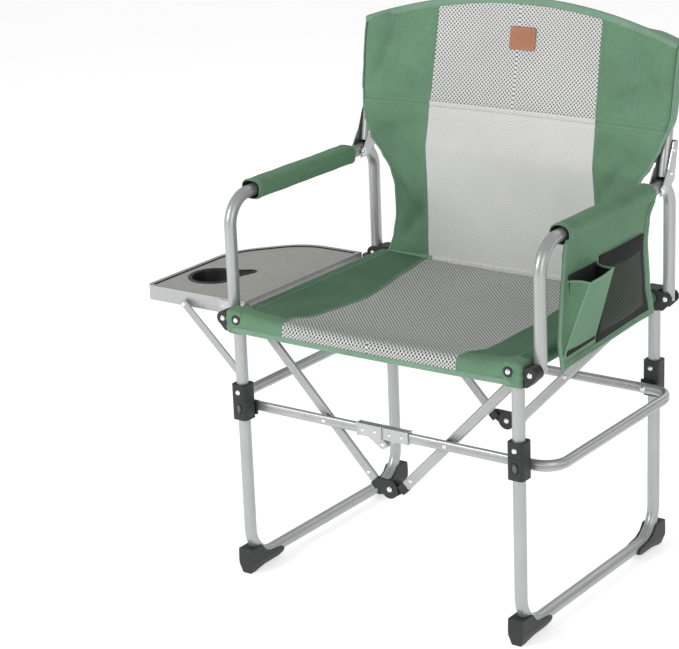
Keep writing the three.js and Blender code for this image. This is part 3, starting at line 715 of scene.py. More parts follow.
def pad(half_x, half_z, power, flap, seed):
    """A padded sleeve round the arm: a closed ring of cloth whose ends turn in over black lining."""
    stations = [
        (PAD_FRONT + 16, -1, 1), (PAD_FRONT + 12, 4.2, 1), (PAD_FRONT + 1.5, 3.4, 1), (PAD_FRONT, 2.2, 0),
        (PAD_FRONT + 0.4, 0.9, 0), (PAD_FRONT + 2.2, 0.1, 0),
    ]
    count = 34
    for k in range(1, count):
        y = PAD_FRONT + 4 + (PAD_REAR - PAD_FRONT - 8) * k / count
        stations.append((y, 0.0, 0))
    stations += [
        (PAD_REAR - 2.2, 0.1, 0), (PAD_REAR - 0.4, 0.9, 0), (PAD_REAR, 2.2, 0), (PAD_REAR - 1.5, 3.4, 1),
        (PAD_REAR - 12, 4.2, 1), (PAD_REAR - 16, -1, 1),
    ]
    n = 56
    verts, flat = [], []
    for y, inset, _ in stations:
        for k in range(n):
            t = TAU * k / n
            c, s = math.cos(t), math.sin(t)
            if inset < 0:
                a, b = (TUBE_R + 0.6) * c, (TUBE_R + 0.6) * s
            else:
                a = half_x * math.copysign(abs(c) ** (2 / power), c)
                b = half_z * math.copysign(abs(s) ** (2 / power), s)
                if flap and a > 4:
                    a -= 1.5 * smooth((-1.5 - b) / 1.5) + 2.0 * math.exp(-((b + 1.2) / 0.9) ** 2)
                wave = noise.noise(Vector((a * 0.05, y * 0.035, b * 0.05 + seed)))
                fine = noise.noise(Vector((a * 0.12 + 7, y * 0.11, b * 0.12 + seed)))
                grow = 1 + (0.035 * wave + 0.014 * fine) - inset / half_x
                a, b = a * grow, b * grow
            verts.append((-ARM_X + a, y, ARM_TOP + 0.6 + b))
            flat.append((t * half_x / 1000, y / 1000))
    rows = len(stations)
    mats = []
    for i in range(rows):
        mats += [1 if stations[i][2] or stations[(i + 1) % rows][2] else 0] * n
    out = Build().add(verts, grid_faces(rows, n, closed=True), mats, flat)

    def outward(p):
        return Vector((p.x + ARM_X, 0, p.z - ARM_TOP)).normalized()
    outline = oval(half_x * 1.005, half_z * 1.005, power, 40)
    for y in (PAD_FRONT + 4.5, PAD_REAR - 4.5):
        ring = [(-ARM_X + a, y, ARM_TOP + 0.6 + b) for a, b in outline + outline[:1]]
        out.join(thread(ring, outward, 3.6, 2.5, 0.4, 2))
    return out


for side, sx in SIDES.items():
    arm, back = f"{side}_arm", f"{side}_back"
    arm_tube().mirrored(sx, 1).piece(f"arm_frame_{side}", SILVER, arm, [f"arm_tube_{side}"])
    shape = pad(18.2, 15.4, 3.0, True, 3.0) if side == "left" else pad(17.6, 15.2, 2.3, False, 11.0)
    soft_pad = shape.mirrored(sx, 1).piece(f"arm_sleeve_{side}", [GREEN, LINING, THREAD], arm, [f"arm_pad_{side}"])
    dress(f"back_lock_{side}", BLACK)
    dress(f"back_bracket_{side}", STEEL, 0.5)
    base = Vector((-ARM_X, UPRIGHT_Y, UPRIGHT_Z))
    up = Vector((0, math.sin(LEAN), math.cos(LEAN)))
    marks = [0, 4, 60, 120, UPRIGHT_LENGTH - 5, UPRIGHT_LENGTH - 2, UPRIGHT_LENGTH]
    shrink = [1, 1, 1, 1, 1, 0.9, 0.6]
    sweep([base + up * u for u in marks], lambda i, p: [(a * shrink[i], b * shrink[i]) for a, b in oval(8, 8, 2, 28)],
          (1, 0, 0)).mirrored(sx, 1).piece(f"upright_tube_{side}", SILVER, back, [f"back_upright_{side}"])
    heads = Build()
    for y, z in ((PIN_Y + 25, PIN_Z + 20), (PIN_Y + 34, PIN_Z + 54)):
        for way in (-1, 1):
            heads.join(rivet((-ARM_X + way * 12.5, y, z), (way, 0, 0), 3.8))
    for way in (-1, 1):
        heads.join(rivet((-ARM_X + way * 12.5, PIN_Y, PIN_Z), (way, 0, 0), 4.4, 6.2))
    heads.mirrored(sx, 1).piece(f"back_rivets_{side}", RIVET, back)


# ---- the back ---------------------------------------------------------------
BACK_EDGE = [(420, 241), (436, 229), (460, 221), (500, 214), (540, 213), (572, 220), (600, 234),
             (628, 253), (655, 267), (683, 276), (700, 280), (807, 281)]
BACK_NET = [(420, 158), (500, 155), (683, 151), (700, 149), (807, 147)]
SEAM_Z, BACK_TOP, BACK_LOW, ARCH = 683, 807, 421, 46.5
CREASES = [  # start and end (x, z), width, depth
    ((165, 700), (262, 745), 9, 3.4), ((160, 655), (250, 622), 10, 3.0), ((158, 560), (224, 640), 12, 3.2),
    ((160, 520), (205, 452), 11, 3.0), ((170, 478), (212, 560), 8, 2.2), ((222, 790), (262, 700), 7, 2.0),
]


def back_middle(x, z):
    """How far back the cloth's front face is at half-width x and height z."""
    if z > UPRIGHT_Z:
        y = 170 + (z - UPRIGHT_Z) * math.tan(LEAN)
    else:
        y = 170 + (UPRIGHT_Z - z) / (UPRIGHT_Z - 436) * 14
    share = min(abs(x) / 262, 1)
    belly = 12 * (1 - share ** 2) * (0.35 + 0.65 * smooth((z - 430) / 120))
    return y + belly


def crease_depth(x, z, seed):
    total = 0.0
    for i, ((ax, az), (bx, bz), width, depth) in enumerate(CREASES):
        shift = 9 * noise.noise(Vector((i * 3.1, seed, 0.5)))
        a, b, p = Vector((ax, az + shift)), Vector((bx, bz - shift)), Vector((x, z))
        along = (b - a)
        t = min(max((p - a).dot(along) / along.length_squared, -0.1), 1.1)
        fade = smooth((t + 0.1) / 0.35) * smooth((1.1 - t) / 0.35)
        total += depth * fade * math.exp(-((p - (a + along * t)).length / width) ** 2)
    soft = noise.noise(Vector((x * 0.018, z * 0.015, seed))) * 3.4 + noise.noise(Vector((x * 0.05, z * 0.04, seed + 4))) * 1.4
    return 2.7 * total + 1.25 * soft


def back_half(seed):
    """Half of the back on the right, a closed sheet that opens into a sleeve round the upright."""
    levels = spread(BACK_LOW, SEAM_Z - 3, 30) + [SEAM_Z - 1, SEAM_Z, SEAM_Z + 1] + spread(SEAM_Z + 3, BACK_TOP, 18)
    net_columns, green_columns = 14, 20
    verts, flat = [], []
    for z0 in levels:
        edge, net_x = lookup(BACK_EDGE, z0), lookup(BACK_NET, z0)
        xs = [net_x * k / net_columns for k in range(net_columns)]
        xs += spread(net_x, edge, green_columns)
        front, rear = [], []
        sleeve = smooth((z0 - 668) / 22)
        for x in xs:
            lift = max(0.0, (z0 - SEAM_Z) / (BACK_TOP - SEAM_Z)) * ARCH * (1 - (x / edge) ** 2)
            z = z0 + lift
            y = back_middle(x, z)
            green = smooth((x - net_x) / 14)
            y += green * crease_depth(x, z0, seed) + (1 - green) * 0.5 * noise.noise(Vector((x * 0.02, z * 0.02, seed)))
            seam = math.exp(-((z0 - SEAM_Z) / 2.2) ** 2)
            y += 1.6 * seam - 1.1 * math.exp(-((z0 - SEAM_Z + 9) / 6) ** 2) - 1.1 * math.exp(-((z0 - SEAM_Z - 9) / 6) ** 2)
            tube = smooth((x - 222) / 26) * sleeve
            y -= 2.0 * tube * math.sin(math.pi * min(max((x - 222) / 58, 0), 1))
            stitch_line = math.exp(-((x - 218) / 2.5) ** 2) * sleeve
            y += 1.4 * stitch_line
            thick = 2.4 + 22.5 * tube
            squeeze = 1.0 if x < edge - 0.5 else 0.55
            mid = y + thick / 2
            front.append((x, mid - thick / 2 * squeeze, z))
            rear.append((x, mid + thick / 2 * squeeze, z))
        ring = front + [(edge + 1.4, (front[-1][1] + rear[-1][1]) / 2, front[-1][2])] + list(reversed(rear))
        verts += ring
        flat += [(p[0] / 1000, p[2] / 1000) for p in ring]
    n = len(ring)
    mats = []
    for low, high in zip(levels, levels[1:]):
        net = 1 if (low + high) / 2 > SEAM_Z else 2
        mats += [net if min(k, n - 2 - k) < net_columns else 0 for k in range(n)]
    return Build().add(verts, grid_faces(len(levels), n), mats + [0, 0], flat)


def back_point(x, z0, out=0.0):
    edge = lookup(BACK_EDGE, z0)
    lift = max(0.0, (z0 - SEAM_Z) / (BACK_TOP - SEAM_Z)) * ARCH * (1 - (min(x, edge) / edge) ** 2)
    z = z0 + lift
    return Vector((x, back_middle(x, z) - out, z))


def back_trim(seed):
    """Bindings, the centre seam and every row of stitches on the right half of the back."""
    def front(p):
        return Vector((0, -1, math.tan(LEAN) if p.z > UPRIGHT_Z else -0.08)).normalized()

    def surface(x, z0, out=0.35):
        p = back_point(x, z0)
        net_x = lookup(BACK_NET, z0)
        green = smooth((x - net_x) / 14)
        p.y += green * crease_depth(x, z0, seed)
        sleeve = smooth((z0 - 668) / 22)
        tube = smooth((x - 222) / 26) * sleeve
        p.y -= 2.0 * tube * math.sin(math.pi * min(max((x - 222) / 58, 0), 1))
        p.y += 1.4 * math.exp(-((x - 218) / 2.5) ** 2) * sleeve
        p.y -= out
        return p
    out = Build()
    top = []
    for k in range(37):
        x = 281 * k / 36
        p = back_point(x, BACK_TOP)
        p.y += 1.2 + 10 * smooth((x - 222) / 26)
        p.z -= 0.8
        top.append(p)
    widths = [smooth((p.x - 222) / 26) for p in top]
    out.join(sweep(top, lambda i, p: oval(3.8 + 9.5 * widths[i], 6.4, 2.6, 20), (0, 1, 0)), mat=0)
    side_path = []
    for k in range(40):
        z0 = BACK_TOP - 1 - (BACK_TOP - 428) * k / 39
        edge = lookup(BACK_EDGE, z0)
        p = back_point(edge, z0)
        p.x += 0.6
        p.y += 1.2 + 10.5 * smooth((z0 - 668) / 22) + crease_depth(edge, z0, seed) * 0.9
        side_path.append(p)
    deep = [smooth((p.z - 668) / 22) for p in side_path]
    out.join(sweep(side_path, lambda i, p: oval(2.6 + 7.5 * deep[i], 2.3, 2.4, 18), (0, 1, 0)), mat=0)
    for gap in (-3.2, 3.2):
        out.join(thread([surface(x, SEAM_Z + gap) for x in spread(150, 274, 30)], front, mat=1))
        out.join(thread([surface(x, SEAM_Z + gap, 1.3) for x in spread(0, 149, 30)], front, 3.4, 2.4, mat=2))
    band = [surface(x, SEAM_Z, 0.2) for x in spread(0, 151, 30)]
    out.join(sweep(band, lambda i, p: oval(4.6, 1.1, 2.4, 14), (0, 0, 1)), mat=2)
    for gap in (2.2, 5.4):
        for low, high in ((426, SEAM_Z - 5), (SEAM_Z + 5, BACK_TOP - 3)):
            path = [surface(lookup(BACK_NET, z) + gap, z) for z in spread(low, high, 30)]
            out.join(thread(path, front, 3.8, 2.6, 0.36, mat=1))
    for x in (216, 220):
        path = [surface(x, z, 0.8) for z in spread(SEAM_Z + 12, BACK_TOP - 6, 20)]
        out.join(thread(path, front, mat=1))
    fold = [surface(x, 426, 0.4) for x in spread(150, 236, 16)]
    out.join(sweep(fold, lambda i, p: oval(4.2, 1.6, 2.4, 14), (0, 0, 1)), mat=0)
    hem = [surface(x, 425, 0.5) for x in spread(0, 157, 20)]
    out.join(sweep(hem, lambda i, p: oval(4.6, 1.5, 2.4, 14), (0, 0, 1)), mat=2)
    for gap in (-2, 2):
        out.join(thread([surface(x, 425 + gap, 2.2) for x in spread(0, 156, 20)], front, 3.4, 2.4, mat=2))
    return out


def squash_to(obj):
    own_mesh(obj)


for side, sx in SIDES.items():
    body, seed = f"{side}_back", (2.0 if side == "left" else 9.0)
    half = back_half(seed).mirrored(-sx, 1).piece(
        f"back_cloth_{side}", [GREEN, NET_TOP, NET_LOW], body, [f"back_panel_{side}"], sharp=50)
    squash_to(half)
    trim = back_trim(seed).mirrored(-sx, 1).piece(f"back_trim_{side}", [BINDING, THREAD, NET_LOW], body)
    squash_to(trim)

label = Build()
size_x, size_z, corner = 23, 17.5, 4
outline = rounded([(-size_x, -size_z), (size_x, -size_z), (size_x, size_z), (-size_x, size_z)], corner)
label_z = 796


def on_back(v):
    x, z, depth = v.x, v.z + label_z, v.y
    spot = Vector((x + 9, back_middle(x + 9, z) - 0.8 + depth, z))
    return spot


label.join(plate(outline, "xz", -1.5, 0.6, 0.5, on_back))
stitch_path = [on_back(Vector((x * 0.88, -1.45, z * 0.86))) for x, z in outline + outline[:1]]
label.join(thread(stitch_path, lambda p: Vector((0, -1, 0.19)), 2.6, 1.7, 0.3), mat=1)
tag = label.piece("leather_label", [LEATHER, THREAD], "right_back")
squash_to(tag)


# ---- the seat ---------------------------------------------------------------
SEAT_NETS = {
    "left": [(-219, 154), (-190, 164), (-150, 144), (-30, 130), (110, 150), (188, 160)],
    "right": [(-219, 154), (-196, 146), (-150, 166), (-44, 167), (90, 160), (188, 158)],
}
SEAT_SEAM, CROWN = -190, 429.6


def seat_top(x, y):
    share = min(abs(x) / 236, 1)
    ends = 0.35 + 0.65 * smooth((y + 217) / 90)
    sag = 13 * (1 - share ** 2) * ends * (1 - 0.35 * smooth((y - 60) / 130))
    crown = CROWN - sag
    corner = smooth((share - 0.9) / 0.1) * smooth((-186 - y) / 6) * 4.5
    wrinkle = 0.0
    if x > 140:
        wrinkle = 1.5 * noise.noise(Vector((x * 0.03, y * 0.022, 5.0))) + 0.7 * noise.noise(Vector((x * 0.07, y * 0.05, 1.0)))
        wrinkle *= smooth((x - 140) / 30) * (1 - smooth((x - 225) / 12))
    return crown + corner + wrinkle


def seat_half(edge_line):
    """Half of the seat on the right: a sheet from the seam at the front, with a sleeve round the rail."""
    net_columns, green_columns = 14, 12
    rows = spread(SEAT_SEAM + 1, 187, 40)
    verts, flat = [], []
    for y in rows:
        net_x = lookup(edge_line, y)
        xs = [net_x * k / net_columns for k in range(net_columns)]
        xs += spread(net_x, 238, green_columns)
        ring = [(x, seat_top(x, y)) for x in xs]
        for k in range(9):
            t = math.pi * (0.5 - k / 8 * 1.05)
            ring.append((LEG_X + 10.3 * math.cos(t), PIVOT_Z + (11 if t > 0 else 10.3) * math.sin(t)))
        ring.append((236, 409))
        ring += [(x, seat_top(x, y) - 2.2 - max(0, (x - 200) / 36) ** 2 * 7) for x in reversed(xs[:-1])]
        verts += [(x, y, z) for x, z in ring]
        run = 0.0
        for k, (x, z) in enumerate(ring):
            if k:
                run += math.hypot(x - ring[k - 1][0], z - ring[k - 1][1])
            flat.append((run / 1000, y / 1000))
    n = len(ring)
    mats = [1 if k < net_columns or k >= n - net_columns else 0 for k in range(n)]
    return Build().add(verts, grid_faces(len(rows), n), mats * (len(rows) - 1) + [0, 0], flat)


FRONT_PATH = [(-217.6, 404.5, -1, 0), (-218.2, 410, -1, 0), (-218.4, 416, -1, 0), (-218, 421, -1, 0.2),
              (-216.6, 425.6, -0.8, 0.6), (-213.5, 428.6, -0.4, 0.9), (-209, 429.6, 0, 1), (-203, 429.6, 0, 1),
              (-196, 429.6, 0, 1), (-190.5, 429.6, 0, 1), (-188, 429.3, 0, 1)]


def seat_front():
    """Half of the seat's front on the right: it rolls over the edge and hangs as a short strip."""
    columns = spread(0, 154, 14)[:-1] + spread(154, 246, 10)
    verts, flat = [], []
    run = 0.0
    for j, (y, z, ny, nz) in enumerate(FRONT_PATH):
        if j:
            run += math.hypot(y - FRONT_PATH[j - 1][0], z - FRONT_PATH[j - 1][1])
        length = math.hypot(ny, nz)
        for side_way in (1, -1):
            row = columns if side_way == 1 else list(reversed(columns))
            for x in row:
                if z > 425:
                    drop = CROWN - seat_top(x, y)
                else:
                    drop = (CROWN - seat_top(x, -217)) * smooth((z - 404) / 22) + 2.2 * (1 - (x / 246) ** 2)
                if x > 225:
                    drop = -4.2 * smooth((x - 225) / 10) * smooth((z - 415) / 12)
                fold = 0.0
                if 158 < x < 240:
                    fold = 2.0 * math.sin((z - 404) * 0.5 + x * 0.03) * smooth((x - 158) / 20)
                    fold += 1.4 * noise.noise(Vector((x * 0.05, z * 0.16, 2)))
                off = 1.1 * side_way
                out = off + fold * 0.6
                verts.append((x, y + out * ny / length, z - drop + out * nz / length))
                flat.append((x / 1000, (run if side_way > 0 else -run) / 1000))
    m = len(columns)
    n = 2 * m
    mats = [1 if min(k, n - 1 - k) < 14 else 0 for k in range(n)]
    rows = len(FRONT_PATH)
    return Build().add(verts, grid_faces(rows, n), mats * (rows - 1) + [0, 0], flat)


def seat_trim(edge_line):
    def up(p):
        return Vector((0, 0, 1))

    def ahead(p):
        return Vector((0, -1, 0))

    def top(x, y, out=0.4):
        return Vector((x, y, seat_top(x, y) + out))
    out = Build()
    hem = [Vector((258 * k / 24, -218.9 + 2.2 * smooth((k - 22) / 2), 405.6 - 2.2 * (1 - (k / 24) ** 2))) for k in range(25)]
    ends = [1 - 0.5 * smooth((k - 22.5) / 1.5) for k in range(25)]
    out.join(sweep(hem, lambda i, p: oval(4.6 * ends[i], 1.9 * ends[i], 2.6, 16), (0, 0, 1)), mat=0)
    for gap in (-1.6, 1.8):
        out.join(thread([p + Vector((0, -1.9, gap)) for p in hem], ahead, 3.8, 2.6, 0.36, mat=1))
    seam = [top(x, SEAT_SEAM, -0.1) for x in spread(0, 236, 30)]
    out.join(sweep(seam[:20], lambda i, p: oval(2.2, 0.9, 2.2, 12), (0, 1, 0)), mat=2)
    out.join(thread([top(x, SEAT_SEAM - 4) for x in spread(0, 152, 24)], up, 3.6, 2.4, 0.34, mat=2))
    for gap in (2.0, 5.0):
        path = [top(lookup(edge_line, y) + gap, y) for y in spread(-186, 184, 50)]
        out.join(thread(path, up, 3.8, 2.6, 0.34, mat=1))
    out.join(thread([top(232, y, 0.2) for y in spread(-182, 182, 40)], up, mat=1))
    for gap in (1.6, 4.4):
        path = [Vector((154 + gap, -219.8, z)) for z in spread(409, 422, 8)]
        out.join(thread(path, ahead, 3.4, 2.4, 0.34, mat=1))
    return out


def corner_wrap(seed):
    """Gathered green cloth round the front corner bracket, on the right."""
    low, high = Vector((231, -219.4, 397)), Vector((261.8, -187, 435.2))
    bm = bmesh.new()
    bmesh.ops.create_cube(bm, size=1.0)
    bmesh.ops.subdivide_edges(bm, edges=bm.edges[:], cuts=11, use_grid_fill=True)
    verts = []
    middle, half = (low + high) / 2, (high - low) / 2
    power = 7
    for v in bm.verts:
        p = v.co * 2
        reach = max(abs(p.x), abs(p.y), abs(p.z))
        size = (abs(p.x) ** power + abs(p.y) ** power + abs(p.z) ** power) ** (1 / power)
        p = p * (reach / size) if size else p
        q = Vector((middle.x + p.x * half.x, middle.y + p.y * half.y, middle.z + p.z * half.z))
        fold = math.sin(q.z * 0.5 + q.x * 0.16 + seed) * 0.9 * smooth((q.z - 399) / 6) * smooth((433 - q.z) / 6)
        way = Vector((p.x, p.y, p.z)).normalized()
        q += way * (fold + 0.5 * noise.noise(q * 0.12 + Vector((seed, 0, 0))))
        verts.append(q)
    faces = [[v.index for v in f.verts] for f in bm.faces]
    bm.free()
    return Build().add(verts, faces, 0, [((p.x + p.y) / 1000, p.z / 1000) for p in verts])


for side, sx in SIDES.items():
    body = f"{side}_frame"
    half = seat_half(SEAT_NETS[side]).mirrored(-sx, 1)
    # The seat takes the darker copies of the green cloth and the net: painted shade on the level seat.
    materials = [GREEN_SEAT_PAINTED_SHADE, NET_SEAT_PAINTED_SHADE]
    nodes = ["seat_panel"] if side == "left" else []
    cloth_half = half.piece(f"seat_cloth_{side}", materials, body, nodes, sharp=50)
    squash_to(cloth_half)
    front = seat_front().mirrored(-sx, 1).piece(f"seat_front_{side}", [GREEN, NET_SEAT_PAINTED_SHADE], body, slot="mesh_fabric", sharp=50)
    squash_to(front)
    trim = seat_trim(SEAT_NETS[side]).mirrored(-sx, 1).piece(f"seat_trim_{side}", [BINDING, THREAD, NET_LOW], body)
    squash_to(trim)
    wrap = corner_wrap(1.0 if side == "left" else 4.0).mirrored(-sx, 1).piece(
        f"corner_wrap_{side}", GREEN, body, sharp=60)
    grommet = lathe([(4.2, -1), (7.6, -1), (7.9, 0.4), (7.2, 1.4), (5.4, 1.6), (4.4, 0.9)], (241, -219.6, 421), (0, -1, 0), 32)
    grommet.mirrored(-sx, 1).piece(f"grommet_{side}", BLACK, body)
    rivet((241, -220.2, 421), (0, -1, 0), 4.4).mirrored(-sx, 1).piece(f"grommet_rivet_{side}", RIVET, body)


# ---- the arm pocket ---------------------------------------------------------
POCKET_TOP, POCKET_LOW = 596, 421
POCKET_FRONT = [(421, -152), (462, -160), (520, -154), (568, -146), (596, -136)]
POCKET_REAR = [(421, 116), (470, 102), (538, 94), (572, 102), (596, 126)]


def pocket_x(y, z):
    return 289.2 - 2.2 * smooth((z - 560) / 40) + 2.6 * math.sin(math.pi * (z - 421) / 175) * math.cos((y + 15) / 100)


def pocket_sheet(front, rear, low, high, rows, columns, off, thick, puff=0.0, mats=None):
    """A thin closed sheet over the pocket panel, between two edge curves."""
    verts, flat, numbers = [], [], []
    for j in range(rows + 1):
        z = low + (high - low) * j / rows
        y0, y1 = front(z), rear(z)
        line = spread(y0, y1, columns)
        for way in (1, -1):
            for k, y in enumerate(line if way == 1 else reversed(line)):
                u = (y - y0) / (y1 - y0)
                swell = puff * math.sin(math.pi * u) * smooth((high - z) / 30 + 0.35) * smooth((z - low) / 25)
                wave = 0.8 * noise.noise(Vector((y * 0.03, z * 0.03, 6 + off)))
                verts.append((pocket_x(y, z) + off + swell + wave + way * thick / 2, y, z))
                flat.append((y / 1000, z / 1000))
    m = columns + 1
    n = 2 * m
    for j in range(rows):
        for k in range(n):
            column = k if k < m else n - 1 - k
            numbers.append(mats(min(column, columns - 1), j) if mats else 0)
    numbers += [numbers[0], numbers[-1]]
    return Build().add(verts, grid_faces(rows + 1, n), numbers, flat)


def arm_pocket():
    out = Build()
    front, rear = (lambda z: lookup(POCKET_FRONT, z)), (lambda z: lookup(POCKET_REAR, z))
    out.join(pocket_sheet(front, rear, POCKET_LOW, POCKET_TOP, 30, 36, 0.0, 2.2))
    zs = spread(POCKET_LOW, POCKET_TOP - 4, 24)
    edge = [Vector((pocket_x(front(z), z), front(z), z)) for z in reversed(zs)]
    hem = spread(front(POCKET_LOW), rear(POCKET_LOW), 24)[1:]
    edge += [Vector((pocket_x(y, POCKET_LOW), y, POCKET_LOW)) for y in hem]
    edge += [Vector((pocket_x(rear(z), z), rear(z), z)) for z in zs][1:]
    out.join(sweep(edge, lambda i, p: oval(2.7, 2.5, 2.2, 16), (1, 0, 0)), mat=1)
    inner = [Vector((pocket_x(rear(z), z) + 1.5, rear(z) - 10, z)) for z in zs[2:]]
    out.join(sweep(inner, lambda i, p: oval(1.4, 1.0, 2, 10), (1, 0, 0)), mat=1)
    low_line = [Vector((pocket_x(y, 428) + 1.4, y, 428.5)) for y in spread(-146, 106, 20)]
    out.join(sweep(low_line, lambda i, p: oval(1.2, 1.0, 2, 10), (1, 0, 0)), mat=1)

    def outward(p):
        return Vector((1, 0, 0))
    low_stitch = [Vector((pocket_x(y, 430) + 1.3, y, 425)) for y in spread(-148, 110, 24)]
    out.join(thread(low_stitch, outward, mat=2))
    out.join(thread([p + Vector((0.2, 3.4, 0)) for p in inner], outward, mat=2))
    return out


def mesh_pocket():
    """The black mesh pocket sewn on the panel, with its wide hem."""
    net_front, net_rear = (lambda z: -60 + (z - 430) * 0.07), (lambda z: lookup(POCKET_REAR, z) - 17)

    def net_mats(column, row):
        return 0 if row >= 15 or row < 2 or column >= 18 or column < 1 else 1
    out = Build()
    out.join(pocket_sheet(net_front, net_rear, 431, 552, 18, 20, 2.8, 1.2, 6.5, net_mats))
    top_edge = []
    for k in range(21):
        y = net_front(552) + (net_rear(552) - net_front(552)) * k / 20
        top_edge.append(Vector((pocket_x(y, 552) + 2.8 + 2.2 * math.sin(math.pi * k / 20), y, 552)))
    out.join(sweep(top_edge, lambda i, p: oval(1.5, 1.5, 2, 10), (1, 0, 0)), mat=0)
    return out


def hang(build):
    """Lets the pocket droop towards its lower front corner."""
    for v in build.verts:
        low = smooth((570 - v.z) / 130)
        v.z -= 10 * low * (1 - min(max((v.y + 160) / 230, 0), 1))
    return build


def open_pocket():
    """The small flared pocket: an outer face that stands out at the top, and its two side gussets."""
    bottom = [(-153, 436), (-66, 434)]
    top = [(-134, 540), (-70, 545)]
    reach = 33
    rows, columns, thick = 14, 12, 1.6
    out = Build()

    def face(u, v):
        y = (bottom[0][0] + (bottom[1][0] - bottom[0][0]) * u) * (1 - v) + (top[0][0] + (top[1][0] - top[0][0]) * u) * v
        z = (bottom[0][1] + (bottom[1][1] - bottom[0][1]) * u) * (1 - v) + (top[0][1] + (top[1][1] - top[0][1]) * u) * v
        x = pocket_x(y, z) + 1.6 + reach * (v ** 1.15) + 2.5 * math.sin(math.pi * u) * v
        return Vector((x, y, z))

    def gusset(u, w, v):
        """From the panel (w = 0) to the outer face's edge (w = 1)."""
        rim = face(u, v)
        wall = Vector((pocket_x(rim.y, rim.z) + 1.4, rim.y + (-6 if u == 0 else 10) * v, rim.z))
        dent = (5 if u == 0 else -5) * math.sin(math.pi * w) * v
        return wall.lerp(rim, w) + Vector((0, dent, 0))

    def sheet_of(place, way, mat_out, mat_in, nu=columns, nv=rows):
        verts, flat = [], []
        for j in range(nv + 1):
            line = [place(k / nu, j / nv) for k in range(nu + 1)]
            for sign in (1, -1):
                for p in (line if sign == 1 else reversed(line)):
                    verts.append(p + way * (sign * thick / 2))
                    flat.append(((p.y + p.x) / 1000, p.z / 1000))
        m, n = nu + 1, 2 * (nu + 1)
        mats = [mat_out] * m + [mat_in] * m
        return Build().add(verts, grid_faces(nv + 1, n), mats * nv + [mat_out, mat_out], flat)
    out.join(sheet_of(face, Vector((1, 0, 0)), 0, 2))
    out.join(sheet_of(lambda w, v: gusset(0, w, v), Vector((0, -1, 0)), 0, 2))
    out.join(sheet_of(lambda w, v: gusset(1, w, v), Vector((0, 1, 0)), 0, 2))
    rim = [gusset(0, k / 6, 1) for k in range(7)] + [face(k / 12, 1) for k in range(1, 13)] + [gusset(1, 1 - k / 6, 1) for k in range(1, 7)]
    out.join(sweep(rim, lambda i, p: oval(1.7, 1.7, 2, 10), (0, 0, 1)), mat=1)
    left = [face(0, v / 14) for v in range(15)]
    out.join(sweep(left, lambda i, p: oval(1.3, 1.3, 2, 8), (1, 0, 0)), mat=1)
    right = [face(1, v / 14) for v in range(15)]
    out.join(sweep(right, lambda i, p: oval(1.3, 1.3, 2, 8), (1, 0, 0)), mat=1)
    back_wall = lambda u, v: Vector((pocket_x(-110, 500) + 3.4, bottom[0][0] + 6 + (bottom[1][0] - bottom[0][0] - 8) * u + 8 * v, 440 + 108 * v))
    out.join(sheet_of(back_wall, Vector((1, 0, 0)), 2, 2))
    return out


def squash_pocket(obj):
    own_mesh(obj)


panel = hang(arm_pocket()).piece("pocket_cloth", [GREEN, BINDING, THREAD], "right_arm", ["arm_pocket"], sharp=50)
squash_pocket(panel)
mesh = hang(mesh_pocket()).piece("pocket_net", [LINING, NET_BLACK], "right_arm", slot="mesh_fabric", sharp=50)
squash_pocket(mesh)
pouch = hang(open_pocket()).piece("pocket_pouch", [GREEN, BINDING, LINING], "right_arm", sharp=50)
squash_pocket(pouch)


# ---- the side table ---------------------------------------------------------
dress("table_board", BOARD, 0.4)
dress("table_rim", SILVER, 1.2)
# The hinge takes the dark steel: painted shade where it lies in the rim's shadow.
dress("table_hinge", PAINTED_SHADE_STEEL, 0.6)
dress("table_strut", SILVER, 0.5)

inset = 7.6
corner_a = Vector((TABLE["cut_x"] + inset * 0.42, TABLE["rear"] - inset))
corner_b = Vector((TABLE["outer"] + inset, TABLE["cut_y"] - inset * 0.42))
edge_way = (corner_b - corner_a).normalized() * TABLE["ease"]
gasket_line = [
    (TABLE["outer"] + inset, TABLE["front"] + inset + 2), (TABLE["outer"] + inset + 2, TABLE["front"] + inset),
    (TABLE["inner"] - inset, TABLE["front"] + inset), (TABLE["inner"] - inset, TABLE["rear"] - inset),
]
for corner, start, end in (
    (corner_a, corner_a + Vector((TABLE["ease"], 0)), corner_a + edge_way),
    (corner_b, corner_b - edge_way, corner_b - Vector((0, TABLE["ease"]))),
):
    for k in range(9):
        t = k / 8
        gasket_line.append(tuple(start.lerp(corner, t).lerp(corner.lerp(end, t), t)))
gasket_path = [Vector((x, y, TABLE["top"] - 1.3)) for x, y in gasket_line]
sweep(gasket_path, lambda i, p: oval(0.9, 1.2, 2, 8), (0, 0, 1), closed=True).piece("table_gasket", LINING, "table", slot="table_trim")

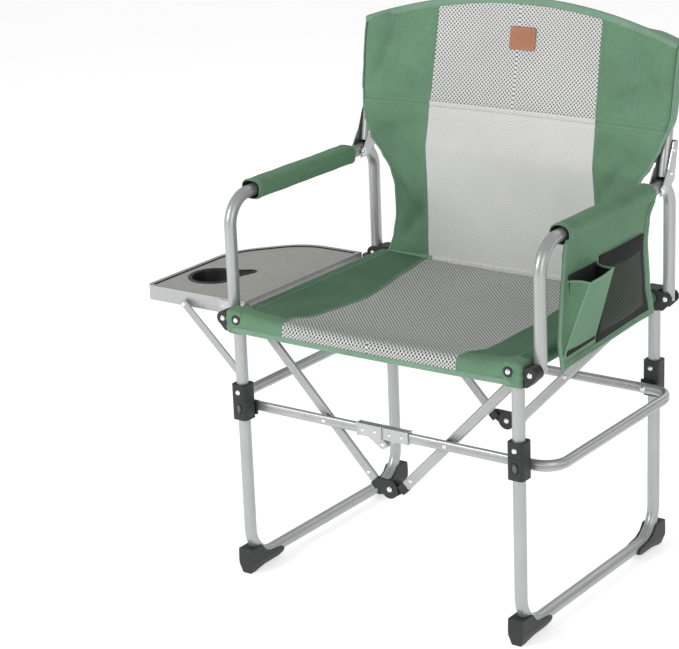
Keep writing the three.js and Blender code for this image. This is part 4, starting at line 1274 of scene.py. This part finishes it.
cx, cy, cr = CUP
deck = TABLE["top"] - 2
cup = lathe([
    (0.5, deck - 38), (30, deck - 38), (34.2, deck - 36), (37.4, deck - 30), (37.5, deck + 0.2), (41.6, deck + 0.3),
    (42.2, deck + 1.1), (41.4, deck + 1.9), (38.2, deck + 2.0), (36.2, deck + 0.6), (35.4, deck - 4), (35.2, deck - 28),
    (33.2, deck - 33), (29, deck - 35.6), (0.5, deck - 36),
], (cx, cy, 0), (0, 0, 1), 56)
cup.piece("cup_well", CUPBLACK, "table", ["cup_holder"])
slot_dir = Vector((0.62, 0.785, 0)).normalized()
slot_side = Vector((-slot_dir.y, slot_dir.x, 0))
middle = Vector((cx, cy, 0))
notch = [(34, -17), (52, -12), (66, -6), (70, -3), (70, 3), (66, 6), (52, 12), (34, 17)]
rim_path, floor_outline = [], []
for a, b in rounded(notch, 6, 3):
    p = middle + slot_dir * a + slot_side * b
    floor_outline.append((p.x, p.y))
    rim_path.append(Vector((p.x, p.y, deck + 0.9)))
keyhole = plate(floor_outline, "xy", deck - 0.6, deck + 0.35, 0.2)
keyhole.piece("cup_slot_floor", LINING, "table", slot="black_plastic")
sweep(rim_path, lambda i, p: oval(1.1, 1.9, 2.4, 12), (0, 0, 1), closed=True).piece("cup_slot_rim", CUPBLACK, "table")

heads = Build()
for x in (-330, -318):
    heads.join(rivet((x, TABLE["front"] - 0.1, TABLE["top"] - 12), (0, -1, 0), 3.0))
heads.piece("table_plate_rivets", RIVET, "table")
plate(rounded([(-338, 403), (-300, 403), (-288, 407), (-288, 418), (-338, 418)], 3), "xz", -139.6, -138, 0.4) \
    .piece("table_front_plate", STEEL, "table", slot="table_trim")
pivots = Build()
pivots.join(rivet((-281, TABLE["front"] - 6, 413), (0, -1, 0), 3.6))
pivots.join(rivet((-281, TABLE["rear"] + 6, 413), (0, 1, 0), 3.6))
pivots.piece("table_pivots", RIVET, "left_frame")
strut_pin = Build()
strut_pin.join(rivet((-405, -146.2, 402), (0, -1, 0), 4.2))
strut_pin.piece("strut_rivet", RIVET, "table_strut")
rivet((-265, -191.8, 326), (0, -1, 0), 4.2).piece("strut_hook", RIVET, "table_strut")
